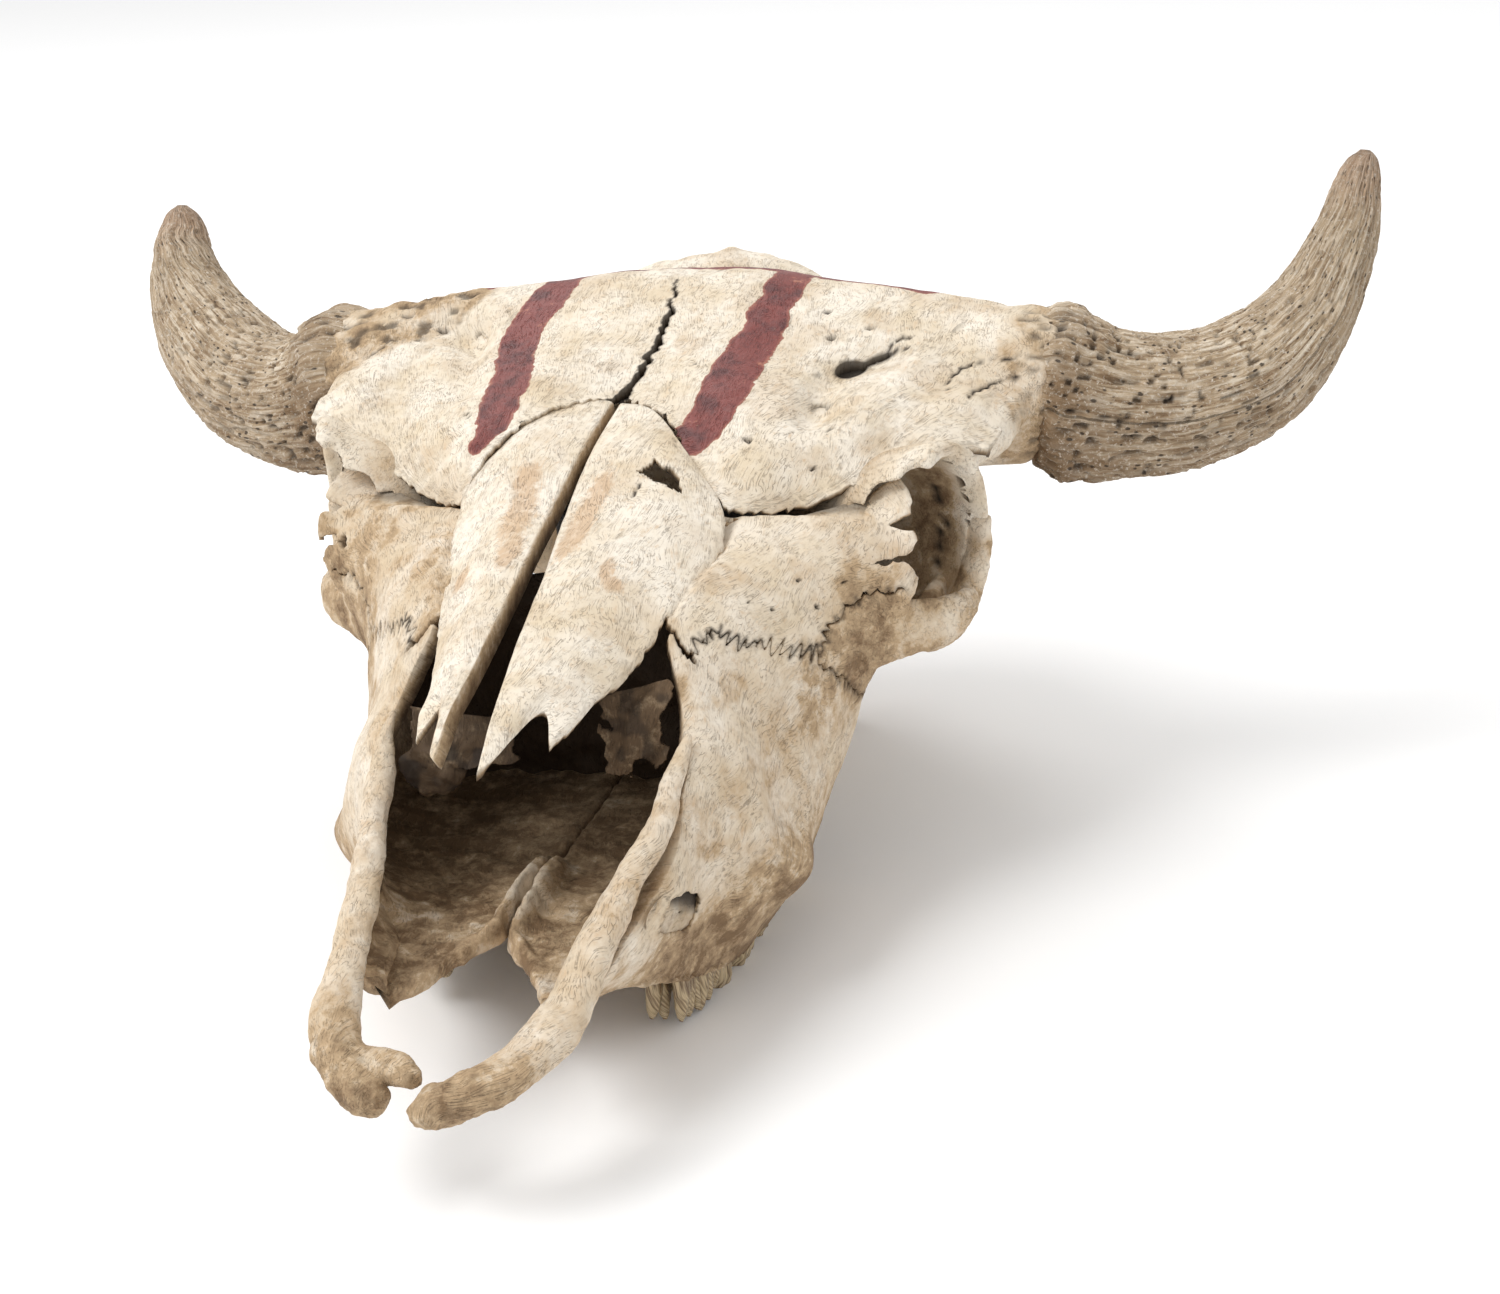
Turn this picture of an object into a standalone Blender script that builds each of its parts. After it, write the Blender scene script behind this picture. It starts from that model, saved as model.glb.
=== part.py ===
"""A weathered bison skull without its lower jaw, resting on its cheek teeth and on the
two processes beside its neck joint. The nose points along -Y, and +X is the animal's left."""

import math

import bpy
import numpy as np

# Driving dimensions, in millimetres. The shapes below are drawn for a skull that is
# DRAWN_LENGTH long from the front of the upper jaw to the neck joint.
DRAWN_LENGTH = 485.0
SKULL_LENGTH = 485.0
SCALE = SKULL_LENGTH / DRAWN_LENGTH * 0.001
# Thickness of the face's plates, of the nasal opening's rim, and of the forehead at its
# front edge and behind it.
BONE_WALL = 5.0
RIM_WALL = 7.0
ROOF_EDGE = 4.0
ROOF_THICKNESS = 15.0
NASAL_WALL = 5.0
# Clearance in the sutures between bones that never fused.
SUTURE_GAP = 0.5
LACRIMAL_GAP = 0.9
# Surface detail of the cranium: the voxels that merge it, and the share of faces kept.
FINE_VOXEL = 2.6
CRANIUM_SHARE = 0.0168
# Where the drawing's origin sits from the middle of the skull's footprint on the floor.
DRAWING_TO_FLOOR = (-2.9, 11.9, 5.0)

LEFT = 1
RIGHT = -1

BONE = (0.70, 0.62, 0.49)
ENAMEL = (0.62, 0.52, 0.38)
STAINED_BONE = (0.52, 0.42, 0.30)


def clear_scene():
    for thing in list(bpy.data.objects):
        bpy.data.objects.remove(thing, do_unlink=True)


def material(name, colour, roughness):
    made = bpy.data.materials.new(name)
    made.use_nodes = True
    shader = made.node_tree.nodes["Principled BSDF"]
    shader.inputs["Base Color"].default_value = (*colour, 1.0)
    shader.inputs["Roughness"].default_value = roughness
    shader.inputs["Metallic"].default_value = 0.0
    return made


def smooth_step(value, start, end):
    share = np.clip((value - start) / (end - start), 0.0, 1.0)
    return share * share * (3.0 - 2.0 * share)


def curve(points, places):
    """Catmull-Rom curve through rows of points, at places counted in rows."""
    points = np.asarray(points, float)
    places = np.asarray(places, float)
    last = len(points) - 2
    index = np.clip(np.floor(places).astype(int), 0, last)
    share = (places - index).reshape(places.shape + (1,) * (points.ndim - 1))
    first = 2 * points[:1] - points[1:2]
    final = 2 * points[-1:] - points[-2:-1]
    padded = np.concatenate([first, points, final])
    a, b, c, d = (padded[index + step] for step in range(4))
    return 0.5 * (
        2 * b
        + (c - a) * share
        + (2 * a - 5 * b + 4 * c - d) * share**2
        + (3 * b - a - 3 * c + d) * share**3
    )


def surface(grid, rows, columns):
    """Points of the smooth surface through a grid, for matching lists of rows and columns."""
    rows = np.asarray(rows, float)
    columns = np.asarray(columns, float)
    lines = curve(grid, rows.ravel())
    found = [curve(line, np.array([c]))[0] for line, c in zip(lines, columns.ravel())]
    return np.array(found).reshape(rows.shape + (3,))


def spread(end, count, border):
    """Even places from 0 to end, with one more past each end when there is a border."""
    places = np.linspace(0.0, end, count)
    return np.concatenate([[-border], places, [end + border]]) if border else places


def normals_of(points):
    """Unit normals of a lattice of points, rows by columns."""
    along = np.gradient(points, axis=0)
    across = np.gradient(points, axis=1)
    normal = np.cross(across, along)
    return normal / np.maximum(np.linalg.norm(normal, axis=-1, keepdims=True), 1e-9)


def lattice_faces(rows, columns, start=0, flip=False):
    faces = []
    for i in range(rows - 1):
        for j in range(columns - 1):
            a = start + i * columns + j
            quad = (a, a + 1, a + columns + 1, a + columns)
            faces.append(quad[::-1] if flip else quad)
    return faces


def surface_normals(grid, rows, columns):
    """Unit normals of the smooth surface through a grid."""
    step = 0.02
    along = surface(grid, rows + step, columns) - surface(grid, rows - step, columns)
    across = surface(grid, rows, columns + step) - surface(grid, rows, columns - step)
    normal = np.cross(across, along)
    return normal / np.linalg.norm(normal, axis=-1, keepdims=True)


def plate(outer, normals, thickness):
    """Closed plate under a lattice of points. Thickness is one number or one for each point."""
    rows, columns = outer.shape[:2]
    depth = np.broadcast_to(thickness, (rows, columns))[..., None]
    inner = outer - normals * depth
    points = np.concatenate([outer.reshape(-1, 3), inner.reshape(-1, 3)])
    count = rows * columns
    faces = lattice_faces(rows, columns)
    faces += lattice_faces(rows, columns, count, flip=True)
    border = list(range(columns))
    border += [i * columns + columns - 1 for i in range(1, rows)]
    border += [(rows - 1) * columns + j for j in range(columns - 2, -1, -1)]
    border += [i * columns for i in range(rows - 2, 0, -1)]
    for a, b in zip(border, border[1:] + border[:1]):
        faces.append((b, a, a + count, b + count))
    return points, faces


def tube(rings):
    """Closed tube through rings of points, with a middle point in each end."""
    rings = np.asarray(rings, float)
    stations, around = rings.shape[:2]
    points = np.concatenate([rings.reshape(-1, 3), [rings[0].mean(0)], [rings[-1].mean(0)]])
    faces = []
    for i in range(stations - 1):
        for j in range(around):
            k = (j + 1) % around
            faces.append((i * around + j, (i + 1) * around + j, (i + 1) * around + k, i * around + k))
    end = stations * around
    base = end - around
    for j in range(around):
        k = (j + 1) % around
        faces.append((end, j, k))
        faces.append((end + 1, base + k, base + j))
    return points, faces


def ring(centre, wide, tall, side_axis, up_axis, around, squareness=2.0):
    """Superellipse ring: wide and tall are half sizes along the two axes."""
    angles = np.arange(around) * (2 * math.pi / around)
    c, s = np.cos(angles), np.sin(angles)
    power = 2.0 / squareness
    x = np.sign(c) * np.abs(c) ** power * wide
    y = np.sign(s) * np.abs(s) ** power * tall
    return np.asarray(centre) + x[:, None] * np.asarray(side_axis) + y[:, None] * np.asarray(up_axis)


def bar(stations, around, steps, hint=(0.0, 0.0, 1.0), wide_axis=None, grow=0.0):
    """Tube along stations of (x, y, z, half width, half height). Its height is turned to the
    hint, or else its width to the wide axis."""
    stations = np.asarray(stations, float)
    places = np.linspace(0, len(stations) - 1, steps)
    line = curve(stations, places)
    centres, sizes = line[:, :3], np.maximum(line[:, 3:], 0.8) + grow
    heading = np.gradient(centres, axis=0)
    heading /= np.linalg.norm(heading, axis=1, keepdims=True)
    rings = []
    for centre, size, forward in zip(centres, sizes, heading):
        if wide_axis is None:
            side_axis = np.cross(forward, hint)
        else:
            side_axis = wide_axis - np.dot(wide_axis, forward) * forward
        side_axis /= np.linalg.norm(side_axis)
        up_axis = np.cross(side_axis, forward)
        rings.append(ring(centre, size[0], size[1], side_axis, up_axis, around))
    return tube(rings)


def joined(shapes):
    points, faces, start = [], [], 0
    for shape_points, shape_faces in shapes:
        points.append(shape_points)
        faces += [tuple(start + v for v in face) for face in shape_faces]
        start += len(shape_points)
    return np.concatenate(points), faces


def sided(points, side):
    """The animal's right half is drawn from the left one, and is narrower along the snout."""
    points = np.array(points, float)
    if side == LEFT:
        return points
    narrowing = smooth_step(points[..., 1], -100.0, -150.0)
    low = 1.0 - smooth_step(points[..., 2], 100.0, 125.0)
    points[..., 0] *= -(1.0 - 0.2 * narrowing * low)
    points[..., 2] += 5.0 * narrowing * low
    brow = smooth_step(-points[..., 0], 112.0, 145.0) * smooth_step(points[..., 2], 150.0, 172.0)
    brow *= 1.0 - smooth_step(points[..., 1], 70.0, 105.0)
    points[..., 2] += 9.0 * brow
    return points


def make_object(name, shape, look, smooth=True):
    """Object with its origin in the middle of its points, placed by its location."""
    points, faces = shape
    points = (np.asarray(points) + DRAWING_TO_FLOOR) * SCALE
    middle = (points.min(0) + points.max(0)) / 2
    mesh = bpy.data.meshes.new(name)
    mesh.from_pydata([tuple(p) for p in points - middle], [], faces)
    mesh.validate()
    turn_outward(mesh)
    mesh.materials.append(look)
    made = bpy.data.objects.new(name, mesh)
    made.location = middle
    bpy.context.scene.collection.objects.link(made)
    if smooth:
        mesh.shade_smooth()
    return made


def turn_outward(mesh):
    mesh.calc_loop_triangles()
    volume = 0.0
    for triangle in mesh.loop_triangles:
        a, b, c = (mesh.vertices[v].co for v in triangle.vertices)
        volume += a.dot(b.cross(c))
    if volume < 0:
        mesh.flip_normals()


def cutter(name, shape, look):
    made = make_object(name, shape, look, smooth=False)
    made.hide_render = True
    made.display_type = "WIRE"
    return made


def cut(target, tools):
    for tool in tools:
        step = target.modifiers.new(tool.name, "BOOLEAN")
        step.operation = "DIFFERENCE"
        step.object = tool


def add(target, tools):
    for tool in tools:
        step = target.modifiers.new(tool.name, "BOOLEAN")
        step.operation = "UNION"
        step.object = tool


# Left side of the face from the nasal opening (rows, front to back) down to the tooth
# sockets (columns).
FACE = [
    [(52, -192, 57), (52, -193, 54), (50, -194, 51), (46, -194, 48), (42, -194, 46), (38, -195, 44), (34, -195, 42)],
    [(62, -163, 72), (63, -164, 68), (62, -165, 62), (60, -165, 55), (57, -165, 49), (52, -165, 43), (46, -165, 37)],
    [(65, -136, 84), (67, -135, 79), (68, -135, 73), (67, -135, 64), (64, -135, 53), (60, -135, 40), (56, -135, 28)],
    [(61, -115, 101), (67, -114, 96), (71, -114, 88), (73, -114, 74), (72, -114, 58), (67, -115, 40), (61, -115, 22)],
    [(56, -95, 114), (64, -95, 109), (73, -94, 98), (81, -94, 82), (86, -94, 58), (80, -94, 38), (68, -94, 20)],
    [(46, -76, 138), (58, -76, 131), (70, -76, 116), (80, -76, 94), (92, -77, 50), (84, -76, 34), (70, -76, 20)],
    [(51, -58, 149), (66, -54, 142), (80, -50, 128), (90, -46, 108), (94, -46, 66), (88, -48, 42), (72, -48, 20)],
    [(56, -32, 155), (76, -28, 151), (94, -24, 142), (104, -20, 120), (98, -20, 78), (90, -22, 50), (74, -22, 22)],
    [(55, -12, 162), (86, -8, 160), (110, -7, 152), (124, -6, 133), (104, -4, 92), (92, -2, 62), (76, 2, 26)],
    [(55, -9, 161), (83, -2, 159), (108, 1, 160), (126, -1, 152), (94, 16, 84), (84, 18, 56), (74, 20, 28)],
    [(55, -7, 161), (79, 4, 158), (100, 14, 163), (118, 19, 169), (92, 30, 84), (82, 32, 56), (72, 34, 28)],
]

# Where the closed sutures cross the face, as (row, column) of the grid above.
MAXILLA_TOP = [(0.0, 0.0), (4.6, 0.0), (4.85, 0.0), (5.28, 0.5), (5.6, 1.0), (5.9, 2.0), (6.37, 2.83),
               (6.45, 3.12), (6.8, 3.45), (7.3, 3.8), (8.0, 4.2), (9.0, 4.6)]
LACRIMAL_LOW = [(4.9, 0.0), (5.28, 0.5), (5.6, 1.0), (5.9, 2.0), (6.37, 2.83)]
LACRIMAL_SIDE = [(6.37, 2.83), (6.57, 2.66), (6.81, 2.56), (7.03, 2.6), (7.36, 2.75), (7.74, 2.87), (8.0, 2.95)]
# Row where the lacrimal ends under the forehead, and its distance in rows from the maxilla.
LACRIMAL_END = 9.6
SUTURE_ROWS = 0.09

# Height of the palate's upper surface along y: its hollow on each side and its middle ridge.
PALATE_Y = [-195.0, -165.0, -130.0, -100.0, -60.0, 0.0, 30.0]
PALATE_VALLEY = [40.0, 43.0, 43.0, 45.0, 48.0, 50.0, 50.0]
PALATE_RIDGE = [41.0, 48.0, 60.0, 66.0, 61.0, 57.0, 55.0]


def along_line(line, rows):
    line = np.array(line)
    return np.interp(rows, line[:, 0], line[:, 1])


def maxilla(side):
    """Cheek wall, tooth-bearing ledge and half of the palate, as one tube of sections along y."""
    rows = np.array([0.0, 0.5, 1.0, 1.5, 2.0, 2.6, 3.2, 3.9, 4.5, 4.95, 5.3, 5.65, 5.95, 6.3, 6.7, 7.2, 7.7, 8.2, 8.7])
    wall_points = 8
    rings = []
    for row in rows:
        top = along_line(MAXILLA_TOP, row) + (0.07 if row > 4.9 else 0.0)
        columns = np.linspace(top, 6.0, wall_points)
        ahead = surface(FACE, np.full(wall_points, row + 0.05), columns)
        behind = surface(FACE, np.full(wall_points, row - 0.05), columns)
        outer = (ahead + behind) / 2
        along = ahead - behind
        across = np.gradient(outer, axis=0)
        normal = np.cross(across, along)
        normal /= np.linalg.norm(normal, axis=1, keepdims=True)
        depth = np.full(wall_points, BONE_WALL)
        depth[0] = RIM_WALL if row < 5.0 else BONE_WALL
        depth[-1] = 7.0
        depth[-2] = 7.0
        inner = outer - normal * depth[:, None]
        edge = outer[-1]
        y = edge[1]
        valley, ridge = np.interp(y, PALATE_Y, PALATE_VALLEY), np.interp(y, PALATE_Y, PALATE_RIDGE)
        middle = 1.2 + np.interp(-y, [158.0, 165.0, 178.0, 186.0, 196.0], [0.0, 3.0, 13.0, 21.0, 29.0])
        width = edge[0] - middle
        ledge = min(14.0 + 10.0 * smooth_step(y, -150.0, -110.0), 0.4 * width)
        side_x = min(inner[-3][0], inner[-2][0])
        socket_floor = [edge[0] - ledge, y, edge[2] - 1.0]
        roof_low = [edge[0] - min(ledge + 4.0, 0.55 * width), y, valley - 5.0]
        mid_low = [middle, y, valley - 5.0]
        mid_high = [middle, y, ridge]
        ridge_side = [middle + 0.14 * (side_x - middle), y, 0.3 * valley + 0.7 * ridge]
        floor_mid = [middle + 0.42 * (side_x - middle), y, valley]
        floor_side = [middle + 0.78 * (side_x - middle), y, valley + 2.5]
        keep = [p for p in inner if p[2] > valley + 9.0 or p is inner[0]]
        low = keep[-1]
        missing = wall_points - len(keep)
        for step in range(missing):
            share = (step + 1) / (missing + 1)
            keep.append(low + share * (np.array(floor_side) + [2.0, 0.0, 2.0] - low))
        section = np.array([*outer, socket_floor, roof_low, mid_low, mid_high, ridge_side, floor_mid,
                            floor_side, *keep[::-1]])
        rings.append(section)
    return tube(sided(rings, side))


# Left nasal bone from its forked tip (rows) back to the forehead, midline to side (columns).
NASAL = [
    [(6, -168, 120), (9, -161, 122), (18, -136, 129), (25, -149, 122)],
    [(2, -146, 131), (10, -142, 132), (19, -129, 133), (29, -136, 125)],
    [(0, -122, 138), (12, -120, 139), (23, -118, 136), (32, -122, 127)],
    [(-1, -98, 146), (14, -96, 147), (28, -92, 143), (39, -98, 131)],
    [(-1, -68, 156), (15, -64, 158), (31, -60, 155), (46, -72, 142)],
    [(-1, -35, 167), (15, -30, 170), (34, -28, 168), (54, -40, 152)],
    [(0, -2, 180), (13, -2, 182), (31, -8, 178), (55, -24, 160)],
    [(1, 36, 193), (13, 28, 191), (31, 7, 180), (50, -13, 165)],
]
# How far the right nasal bone has sprung away from the left one along the midline.
RIGHT_NASAL_GAPE = 6.0

# Left half of the forehead roof, front edge to behind the crest (rows), midline to side.
FOREHEAD = [
    [(0, 38, 193), (18, 29, 190), (33, 8, 179), (52, -12, 165), (74, 0, 160), (98, 13, 168), (124, 28, 178), (146, 40, 175)],
    [(0, 62, 203), (20, 54, 202), (40, 36, 197), (62, 20, 188), (85, 26, 185), (106, 38, 186), (128, 50, 187), (149, 58, 178)],
    [(0, 92, 214), (24, 90, 213), (48, 84, 209), (72, 76, 203), (94, 74, 199), (114, 78, 197), (133, 84, 195), (152, 92, 190)],
    [(0, 128, 226), (30, 128, 226), (55, 128, 223), (80, 127, 221), (107, 125, 218), (125, 123, 216), (139, 121, 214), (150, 119, 208)],
    [(0, 165, 221), (30, 164, 220), (60, 160, 215), (85, 154, 206), (105, 150, 198), (120, 146, 190), (131, 142, 180), (140, 138, 170)],
]

# Horn cores from the burr to the tip: x, y, z, half width, half height.
LEFT_HORN = [
    (112, 112, 178, 30, 32), (140, 116, 181, 32, 33), (155, 119, 180, 35, 36), (168, 121, 176, 33, 34),
    (184, 125, 172, 31, 31), (207, 132, 170, 30, 29.5), (227, 140, 174, 28, 27.5), (244, 150, 182, 25, 26),
    (259, 160, 197, 20, 21), (269, 168, 214, 16, 17), (276, 174, 233, 13, 14), (280, 178, 251, 10.5, 11),
    (282, 181, 264, 6.5, 7), (282.5, 182, 269, 2, 2),
]
RIGHT_HORN = [
    (-112, 112, 178, 30, 32), (-140, 116, 180, 32, 33), (-157, 118, 179, 35, 36), (-170, 120, 172, 33, 34),
    (-190, 124, 167, 31, 31), (-215, 133, 170, 30, 29.5), (-237, 145, 181, 28, 27.5), (-254, 156, 195, 24, 25),
    (-265, 166, 211, 19, 20), (-270, 173, 226, 15, 16), (-271, 178, 237, 11, 12), (-271, 180, 245, 7, 7.5),
    (-271, 181, 249, 2, 2),
]

# Premaxilla bars from the nasal opening to the tip: x, y, z, half width, half height.
LEFT_PREMAXILLA = [
    (62, -116, 101, 4, 4), (62, -124, 96, 6, 5.5), (62, -137, 90, 6.5, 5.5), (60, -155, 82, 6.5, 5.5),
    (56, -173, 73, 8, 6), (54, -190, 63, 9, 6), (50, -204, 55, 10.5, 6.5), (45, -221, 49, 11, 7),
    (36, -237, 45, 10, 7), (25, -247, 42, 9, 7.5), (14, -252, 39, 8, 7), (8, -254, 37, 3, 3),
]
RIGHT_PREMAXILLA = [
    (-52, -118, 108, 4, 4), (-50, -127, 101, 6, 5.5), (-47, -141, 93, 6.5, 5.5), (-41, -164, 83, 7, 5.5),
    (-37, -184, 74, 7.5, 6), (-34, -204, 64, 8, 6.5), (-30.5, -222, 57, 8.8, 7), (-25.5, -236, 50, 9, 7.5),
    (-17, -246, 44, 8.5, 7.5), (-8, -250, 40, 7.5, 6.5), (-3, -250, 39, 3, 3),
]
RIGHT_HOOK = [
    (-16, -240, 46, 7, 6), (-8, -240, 46, 6.5, 5), (0, -242, 46, 5.5, 4.5), (6, -246, 45, 3.5, 3),
]

# Cheek teeth of one side: name, front and back along y, how far each stands out sideways.
TEETH = [
    ("premolar_2", -118.0, -104.0, 56.0), ("premolar_3", -103.0, -87.0, 60.0),
    ("premolar_4", -86.0, -70.0, 63.0), ("molar_1", -69.0, -46.0, 65.0),
    ("molar_2", -45.0, -18.0, 66.0), ("molar_3", -17.0, 12.0, 67.0),
]
TOOTH_FLOOR = -5.0
MOLAR_HALF_WIDTH = 10.0
PREMOLAR_HALF_WIDTH = 8.5


def nasal(side, grow=0.0):
    """Nasal bone: an arched plate with a turned-down midline wall and a forked tip."""
    rows = spread(7.0, 12, 0.05 * grow)
    columns = spread(3.0, 7, 0.03 * grow)
    r, c = np.meshgrid(rows, columns, indexing="ij")
    outer = surface(NASAL, r, c)
    if side == RIGHT:
        outer[..., 0] *= -1.0
        open_share = 1.0 - smooth_step(outer[..., 1], -60.0, 30.0)
        outer[..., 0] -= (RIGHT_NASAL_GAPE * open_share + 0.8) * (1.0 - c / 3.0)
        outer = outer[:, ::-1]
    else:
        outer[..., 0] += 0.6 * (1.0 - c / 3.0)
    wall = NASAL_WALL + 5.0 * smooth_step(1.0 - c / 3.0, 0.6, 1.0)
    wall *= 0.55 + 0.45 * smooth_step(r, 0.0, 2.0)
    if side == RIGHT:
        wall = wall[:, ::-1]
    normals = normals_of(outer)
    return plate(outer + normals * grow, normals, wall + 2 * grow)


def lacrimal(side, grow=0.0):
    """Plate between the nasal bone, the forehead and the front edge of the eye socket."""
    shares = spread(1.0, 10, 0.05 * grow)
    across = spread(1.0, 7, 0.03 * grow)
    low = np.array(LACRIMAL_LOW)
    rows = np.zeros((len(shares), len(across)))
    columns = np.zeros((len(shares), len(across)))
    for j, c in enumerate(across):
        place = c * (len(low) - 1)
        past_end = place - np.clip(place, 0.0, len(low) - 1.0)
        start_row = np.interp(place, range(len(low)), low[:, 0]) + SUTURE_ROWS
        start_column = np.interp(place, range(len(low)), low[:, 1]) + 0.7 * past_end
        rows[:, j] = start_row + (LACRIMAL_END - start_row) * shares
        columns[:, j] = start_column + (3.0 * c - start_column) * shares
        bow = along_line(LACRIMAL_SIDE, rows[:, j]) - (2.83 + 0.17 * shares)
        columns[:, j] += bow * c - 0.03 * c + 0.12 * (1.0 - c)
    outer = surface(FACE, rows, columns)
    wall = BONE_WALL - 2.8 * smooth_step(rows, 6.8, 8.2)
    normals = surface_normals(FACE, rows, columns)
    # The surface bends sharply under the forehead's edge, so its normals are evened out.
    for _ in range(4):
        normals[1:-1] = (normals[:-2] + 2.0 * normals[1:-1] + normals[2:]) / 4.0
    normals /= np.linalg.norm(normals, axis=-1, keepdims=True)
    shape = plate(outer + normals * grow, normals, wall + 2 * grow)
    return sided(shape[0], side), shape[1]


# Eye socket: the middle of its opening, and the level axis that points out of it.
SOCKET = np.array([131.0, 20.0, 141.0])
RIM_DEPTH = 3.0
RIM_WIDE = 26.5
RIM_TALL = 37.0
RIM_HALF_DEPTH = 6.5
RIM_HALF_WALL = 4.4
# Angle on the rim where the cheekbone meets the post that comes down from the forehead.
RIM_SUTURE = 5.0
SOCKET_OUT = np.array([0.92, -0.39, 0.0])
SOCKET_ALONG = np.array([0.39, 0.92, 0.0])
UP = np.array([0.0, 0.0, 1.0])


def socket_ring(depth, wide, tall, around, lift=0.0):
    centre = SOCKET - SOCKET_OUT * depth + UP * lift
    return ring(centre, wide, tall, SOCKET_ALONG, UP, around)


def rim_stations(start, end, count):
    """Stations round the eye socket's rim, by angle: 0 is behind the eye and 90 above it."""
    stations = []
    for angle in np.radians(np.linspace(start, end, count)):
        centre = SOCKET - SOCKET_OUT * RIM_DEPTH
        centre = centre + SOCKET_ALONG * RIM_WIDE * math.cos(angle) + UP * RIM_TALL * math.sin(angle)
        stations.append((*centre, RIM_HALF_DEPTH, RIM_HALF_WALL))
    return stations


def roof():
    """The two fused halves of the forehead, from one eye socket to the other."""
    left = np.array(FOREHEAD, float)
    right = sided(left, RIGHT)
    whole = np.concatenate([right[:, :0:-1], left], axis=1)
    rows = np.linspace(0.0, 4.0, 30)
    columns = np.linspace(0.0, whole.shape[1] - 1.0, 90)
    r, c = np.meshgrid(rows, columns, indexing="ij")
    outer = surface(whole, r, c)
    return plate(outer, normals_of(outer), ROOF_EDGE + (ROOF_THICKNESS - ROOF_EDGE) * smooth_step(r, 0.0, 1.2))


def braincase():
    """Closed body from the back of the nose to the neck joint."""
    stations = [
        (34, 132, 34, 40), (58, 132, 46, 52), (95, 136, 58, 66), (128, 142, 70, 76),
        (158, 140, 88, 74), (182, 136, 104, 72), (200, 130, 96, 62), (212, 118, 60, 44),
    ]
    places = np.linspace(0, len(stations) - 1, 24)
    rings = []
    for y, middle, wide, tall in curve(stations, places):
        rings.append(ring((0, y, middle), wide, tall, (1, 0, 0), UP, 40, 2.3))
    return tube(rings)


def cranium_side(side):
    """Pieces of bone on one side that grew into the cranium."""
    horn = LEFT_HORN if side == LEFT else RIGHT_HORN
    shapes = [bar(horn, 28, 60)]
    socket = tube([socket_ring(11.6, 26, 36, 32), socket_ring(28, 27, 36, 32, -1),
                   socket_ring(48, 28, 33, 32, -4), socket_ring(72, 22, 24, 32, -8)])
    brow = bar(rim_stations(110, RIM_SUTURE + 1.0, 9), 16, 24, wide_axis=SOCKET_OUT)
    ledge = bar([(118, 40, 172, 14, 8), (136, 62, 172, 13, 9), (140, 84, 178, 14, 12), (134, 108, 180, 20, 22)], 20, 16)
    arch = bar([(78, 150, 92, 16, 14), (100, 142, 92, 12, 11), (117, 124, 97, 8, 8), (127, 102, 102, 5, 8),
                (131, 82, 105, 4.5, 7.5), (133, 64, 108, 4, 5)], 18, 22)
    condyle = bar([(20, 205, 84, 14, 16), (30, 218, 86, 15, 20), (33, 228, 88, 11, 16), (34, 233, 90, 4, 7)], 18, 12)
    process = bar([(62, 186, 78, 20, 14), (60, 187, 58, 15, 11), (57, 187, 36, 9, 8), (54, 185, 14, 6.5, 6.5),
                   (52, 183, -2, 5, 5), (51.5, 182.5, -5, 3, 3)], 16, 20, hint=(0.0, 1.0, 0.0))
    bulla = bar([(44, 172, 74, 12, 12), (42, 164, 62, 12, 13), (40, 158, 52, 8, 9), (39, 155, 47, 3, 4)],
                16, 10, hint=(0.0, 1.0, 0.0))
    wing = bar([(24, 78, 84, 12, 4), (25, 62, 66, 14, 3.5), (26, 50, 52, 12, 3), (27, 44, 40, 8, 2.5)],
               14, 12, hint=(1.0, 0.0, 0.0))
    for points, faces in (socket, brow, ledge, arch, condyle, process, bulla, wing):
        shapes.append((sided(points, side), faces))
    return shapes


def cranium(look):
    base = bar([(0, 214, 76, 26, 14), (0, 180, 68, 26, 13), (0, 140, 68, 20, 13), (0, 100, 74, 15, 13),
                (0, 70, 84, 12, 14)], 20, 16)
    poll = bar([(-56, 182, 198, 12, 10), (-36, 188, 205, 14, 10), (-8, 190, 207.5, 15, 10.5), (14, 190, 206.5, 15, 10.5),
                (36, 188, 201, 13, 10), (54, 182, 196, 12, 10)], 16, 20)
    shapes = [roof(), braincase(), base, poll] + cranium_side(LEFT) + cranium_side(RIGHT)
    skull = make_object("cranium", joined(shapes), look)
    merge = skull.modifiers.new("one surface", "REMESH")
    merge.mode = "VOXEL"
    merge.voxel_size = FINE_VOXEL * SCALE
    merge.use_smooth_shade = True
    soften = skull.modifiers.new("worn edges", "SMOOTH")
    soften.factor = 0.5
    soften.iterations = 3
    fewer = skull.modifiers.new("fewer faces", "DECIMATE")
    fewer.ratio = CRANIUM_SHARE
    tools = []
    for side, word in ((LEFT, "left"), (RIGHT, "right")):
        hollow = tube([socket_ring(-25, 24, 32, 32), socket_ring(6, 22, 29, 32), socket_ring(34, 21, 27, 32, -1),
                       socket_ring(52, 15, 19, 32, -3), socket_ring(62, 6, 8, 32, -5)])
        tools.append(cutter("eye socket hollow " + word, (sided(hollow[0], side), hollow[1]), look))
    canal = bar([(0, 245, 98, 17, 15), (0, 220, 99, 16, 14), (0, 196, 102, 13, 12)], 20, 6)
    tools.append(cutter("neck opening", canal, look))
    for side, word in ((LEFT, "left"), (RIGHT, "right")):
        tools.append(cutter("room for nasal " + word, nasal(side, SUTURE_GAP), look))
        tools.append(cutter("room for lacrimal " + word, lacrimal(side, LACRIMAL_GAP), look))
    cut(skull, tools)
    return skull


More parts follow.
